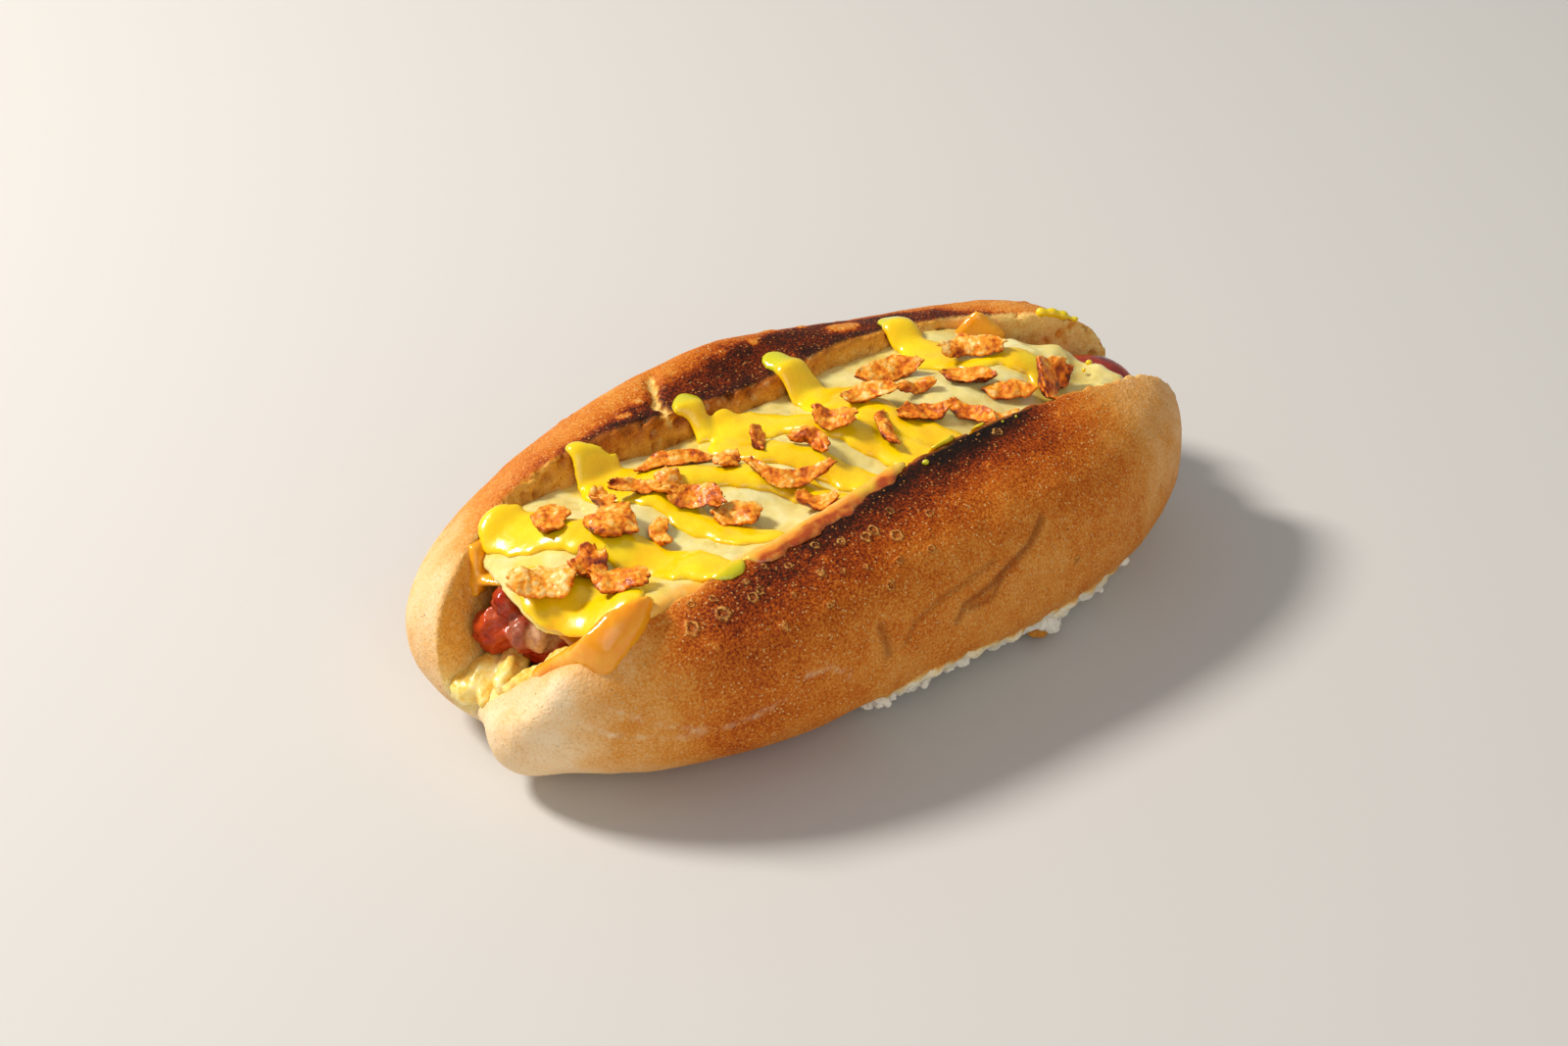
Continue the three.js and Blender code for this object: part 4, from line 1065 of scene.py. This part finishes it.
def strand(points, seed, high=1.08 * MUSTARD_HEIGHT):
    """A closed run of sauce along the points, lying on the cheese and the crust."""
    path, length = smooth_path(points, RUN_STEPS)

    def place(dx, turn):
        share = np.clip(np.arcsin(np.clip(dx, -1, 1)) / np.pi + 0.5, 0, 1)
        k, steps = share * (RUN_STEPS - 1), np.arange(RUN_STEPS)
        cx, cy, w = [np.interp(k, steps, path[:, i]) for i in range(3)]
        tx, ty = [np.interp(k, steps, np.gradient(path[:, i])) for i in range(2)]
        norm = np.hypot(tx, ty) + 1e-9
        rounded = np.maximum(0, 1 - np.abs(2 * share - 1) ** 8) ** 0.5
        run = share * length
        wobble = 1 + 0.10 * np.sin(run * 0.55 + seed) + 0.06 * np.sin(run * 1.3 + 2 * seed)
        spread = mix(1, 1.16, ease(-56, -46, cx) * ease(4, 12, BACK_LIP(cx) - cy))
        offset = (1.3 * w + 0.6) * spread * rounded * wobble * np.cos(turn)
        x, y = cx - ty / norm * offset, cy + tx / norm * offset
        steep = 1 + 0.3 * bump_at(BACK_LIP(x) - y, 2.5, 3.5)
        up = np.where(np.sin(turn) > 0, high * steep * (0.86 + 0.14 * np.sin(run * 0.4 + 3 * seed)), RUN_DEPTH)
        return np.stack([x, y, mustard_ground(x, y) + up * rounded * np.sin(turn)], -1)

    return warped_sphere("run", 28, max(20, int(length / 0.9)), place)


def build_mustard():
    drops = []
    for x, y, radius in MUSTARD_DROPS:
        place = (x, y, float(mustard_ground(x, y)) + 0.2)
        drops.append(blob("drop", place, (1.2 * radius, radius, 0.6 * radius + 0.5), (0, 0, -30), 20, 14))
    obj = joined([strand(run, i) for i, run in enumerate(MUSTARD_RUNS)] + drops)
    obj = remesh(obj, MUSTARD_CELL, smooth=16, factor=0.6)
    p = points_of(obj)
    x, y, z = p.T
    push_out(obj, 0.18 * soft_noise(p / 4.5, 81))
    outside = np.maximum(-y - FRONT_LIP(x), y - BACK_LIP(x))
    add_mark(obj, "green", ease(-1.5, 2.5, outside) * ease(-60, -48, x) * 0.75)
    finish_piece(obj, "mustard", mustard_material(), "pale_cheese")


# Crispy onions: (x, y, long, wide, turn, lean, bow, bend)
FLAKES = [
    (-64, 8.5, 9, 7, 40, 0, 1.5, 0), (-55, -1, 11, 10, 20, 0, 1.8, 0), (-50.5, 9, 8, 4.5, 70, 10, 1.0, 0),
    (-76.5, -6.5, 13, 9.5, -25, 0, 1.6, 0), (-66, -7.5, 9, 7, 30, 20, 1.4, 0), (-64.5, -17.5, 12, 7.5, -45, 0, 1.5, 0),
    (-46, -7.5, 9, 4, 62, 0, 0.8, 1), (-29, 11.5, 17, 3.8, -22, 25, 1.0, 1.5), (-21, 3.5, 6.5, 5.5, 20, 0, 1.0, 0),
    (-43.5, 6.5, 11, 3.2, -36, 30, 0.5, 0), (-37, 3, 9, 6.5, 55, 15, 1.4, 0), (-35.5, -5, 12, 6, -52, 25, 1.8, 1.6),
    (-30, -12, 10, 8, -30, 0, 1.2, 0), (-10, 6.5, 9, 4, 58, 35, 1.2, 1), (-12, -7.5, 18, 4.2, -40, 40, 1.0, -4.5),
    (-2.5, -2.5, 10, 4.2, -70, 35, 1.4, 1.5), (-14, -19.5, 9, 4.6, -38, 0, 1.0, 0), (6.5, 0, 9.5, 6.5, -50, 10, 1.8, 0),
    (19.5, 4, 13, 5, -20, 10, 1.5, 1), (15.5, -8, 13, 4, 66, 30, 1.5, 1.5), (31.5, 12, 16, 6.5, -14, 20, 2.2, 0),
    (26.5, -6.5, 12, 4.6, -20, 15, 1.5, 0), (31.5, 2, 9, 3.4, -18, 25, 1.0, 0), (35.5, -13, 13, 4.2, -75, 20, 1.2, 1.5),
    (51, 5, 15, 6, -30, 20, 2.0, 1.5), (43.5, -2.5, 12, 5.4, -42, 0, 1.6, 0), (49, -10.5, 12, 5.4, -34, 15, 1.4, 0),
    (60, -13, 13, 8.5, 25, 55, 2.4, 1.5), (41.5, -16.5, 8, 5, -30, 0, 1.2, 0),
]


def build_flake(number, shape, material):
    """A fried onion flake, bent and ragged, let down onto what it lies on."""
    fx, fy, long, wide, turn, lean, bow, bend = shape
    turn, lean, seed = math.radians(turn), math.radians(lean), number

    def at(s, w, h):
        taper = np.sqrt(np.maximum(0.12, 1 - np.abs(2 * s) ** 3))
        side = np.sign(w)
        ragged = 1.06 + 0.15 * np.sin(8 * s + seed * 2.1) * side + 0.07 * np.sin(17 * s + seed * 1.3 + 2 * side)
        ragged = ragged + 0.03 * np.sin(37 * s + 3 * seed + side)
        across = wide * w * taper * ragged + bend * (1 - 4 * s * s)
        along = long * s * (1.04 + 0.09 * np.sin(7 * w + seed) + 0.04 * np.sin(15 * w + 2 * seed))
        curl = (0.13 + 0.12 * (wide < 5)) * wide * (4 * w * w - 0.3)
        curl = curl * (0.5 + math.sin(seed * 2.7)) * (1 + 0.4 * np.sin(5 * s + seed))
        up = h + bow * (4 * s * s - 0.5) + 0.5 * np.sin(7 * s + seed) + curl + 0.2 * np.sin(13 * s + 5 * w + seed)
        y = across * np.cos(lean) - up * np.sin(lean)
        z = across * np.sin(lean) + up * np.cos(lean)
        return fx + along * np.cos(turn) - y * np.sin(turn), fy + along * np.sin(turn) + y * np.cos(turn), z

    s, w = np.meshgrid(np.linspace(-0.5, 0.5, 21), np.linspace(-0.5, 0.5, 11))
    lift = -1e9
    for h in (0, FLAKE_THICK):
        x, y, z = at(s, w, h)
        lift = max(lift, float(np.max(mustard_ground(x, y) + mustard_over(x, y) - z)))

    chunk = FLAKE_THICK * (1.15 + 0.24 * max(0, wide - 6))

    def place(bx, by, bz):
        s, w = bx / 2, by / 2
        rim = np.minimum(ease(1, 0.6, np.abs(bx)), ease(1, 0.35, np.abs(by)))
        h = FLAKE_THICK / 2 + (bz - 0.5) * chunk * (0.35 + 0.75 * rim)
        x, y, z = at(s, w, h)
        return np.stack([x, y, z + lift - 0.5], -1)

    obj = remesh(warped_box(f"flake_{number:02d}", 44, 22, 3, place), ONION_CELL, smooth=3)
    p, n = points_of(obj), normals_of(obj)
    q = p + np.array([7.0, 3.0, 5.0]) * seed
    bubble, _ = cells(q / 1.25, 94)
    height = 0.32 * soft_noise(q / 2.8, 91) + 0.1 * soft_noise(q / 0.9, 92) + 0.34 * (0.5 - bubble)
    push_out(obj, height)
    tone_and_shade = {4: 0.13, 3: 0.04, 5: -0.05, 1: -0.02, 6: -0.03}.get(number, 0.05 * math.sin(3.1 * number))
    # Painted shade: the flakes' tops are lighter and their sides and the hollows between the bubbles darker, added to
    # each flake's own tone.
    shade = 0.22 * n[:, 2] - 0.1 - 0.15 * ease(0.35, 0.75, bubble)
    add_mark(obj, "tone_and_shade", tone_and_shade + 0.16 * soft_noise(q / 3.5, 93) + shade)
    name = f"crispy_onion_{number:02d}"
    finish_piece(obj, f"fried_{name}", material, "fried_onion", name)


bread = build_bun()
build_hinge_crumb()
build_torn_edge(bread)
build_sausage()
build_pale_cheese()
build_orange_cheese()
build_mustard()
onion = onion_material()
for i, flake in enumerate(FLAKES):
    build_flake(i + 1, flake, onion)


# Floor, light and camera
def build_stage():
    floor = bpy.data.meshes.new("floor")
    floor.from_pydata([(-3, -3, 0), (3, -3, 0), (3, 3, 0), (-3, 3, 0)], [], [(0, 1, 2, 3)])
    obj = bpy.data.objects.new("floor", floor)
    bpy.context.scene.collection.objects.link(obj)
    m = Material("floor")
    m.set(Base_Color=rgb("cfcdca"), Roughness=0.8)
    m.bump(m.noise(6), 0.02)
    floor.materials.append(m.made)


def add_light(name, place, size, watts, color):
    """A round lamp that points at the part."""
    light = bpy.data.lights.new(name, "AREA")
    light.shape, light.size, light.energy, light.color = "DISK", size, watts, color
    obj = bpy.data.objects.new(name, light)
    obj.location = place
    obj.rotation_euler = (Vector(LIT_PLACE) - Vector(place)).to_track_quat("-Z", "Y").to_euler()
    bpy.context.scene.collection.objects.link(obj)


# The camera fitted to the photograph, in metres, and the points that it and the lamps look at.
CAMERA_PLACE, CAMERA_TARGET, LIT_PLACE = (-0.3264, -0.4103, 0.3921), (-0.0076, 0.0004, 0.025), (0, 0, 0.02)


def build_camera():
    camera = bpy.data.cameras.new("camera")
    camera.lens, camera.sensor_width, camera.clip_start, camera.clip_end = 65, 36, 0.01, 20
    obj = bpy.data.objects.new("camera", camera)
    obj.location = CAMERA_PLACE
    obj.rotation_euler = (Vector(CAMERA_TARGET) - obj.location).to_track_quat("-Z", "Y").to_euler()
    bpy.context.scene.collection.objects.link(obj)
    bpy.context.scene.camera = obj


build_stage()
add_light("key", (-0.55, 0.75, 0.95), 0.3, 19, (1.0, 0.95, 0.88))
add_light("fill", (-0.5, -1.1, 0.7), 1.2, 4.5, (1.0, 0.97, 0.93))
world = bpy.data.worlds.new("studio")
world.use_nodes = True
world.node_tree.nodes["Background"].inputs["Color"].default_value = (1.0, 0.98, 0.95, 1.0)
world.node_tree.nodes["Background"].inputs["Strength"].default_value = 0.33
bpy.context.scene.world = world
bpy.context.scene.view_settings.view_transform = "Standard"
build_camera()
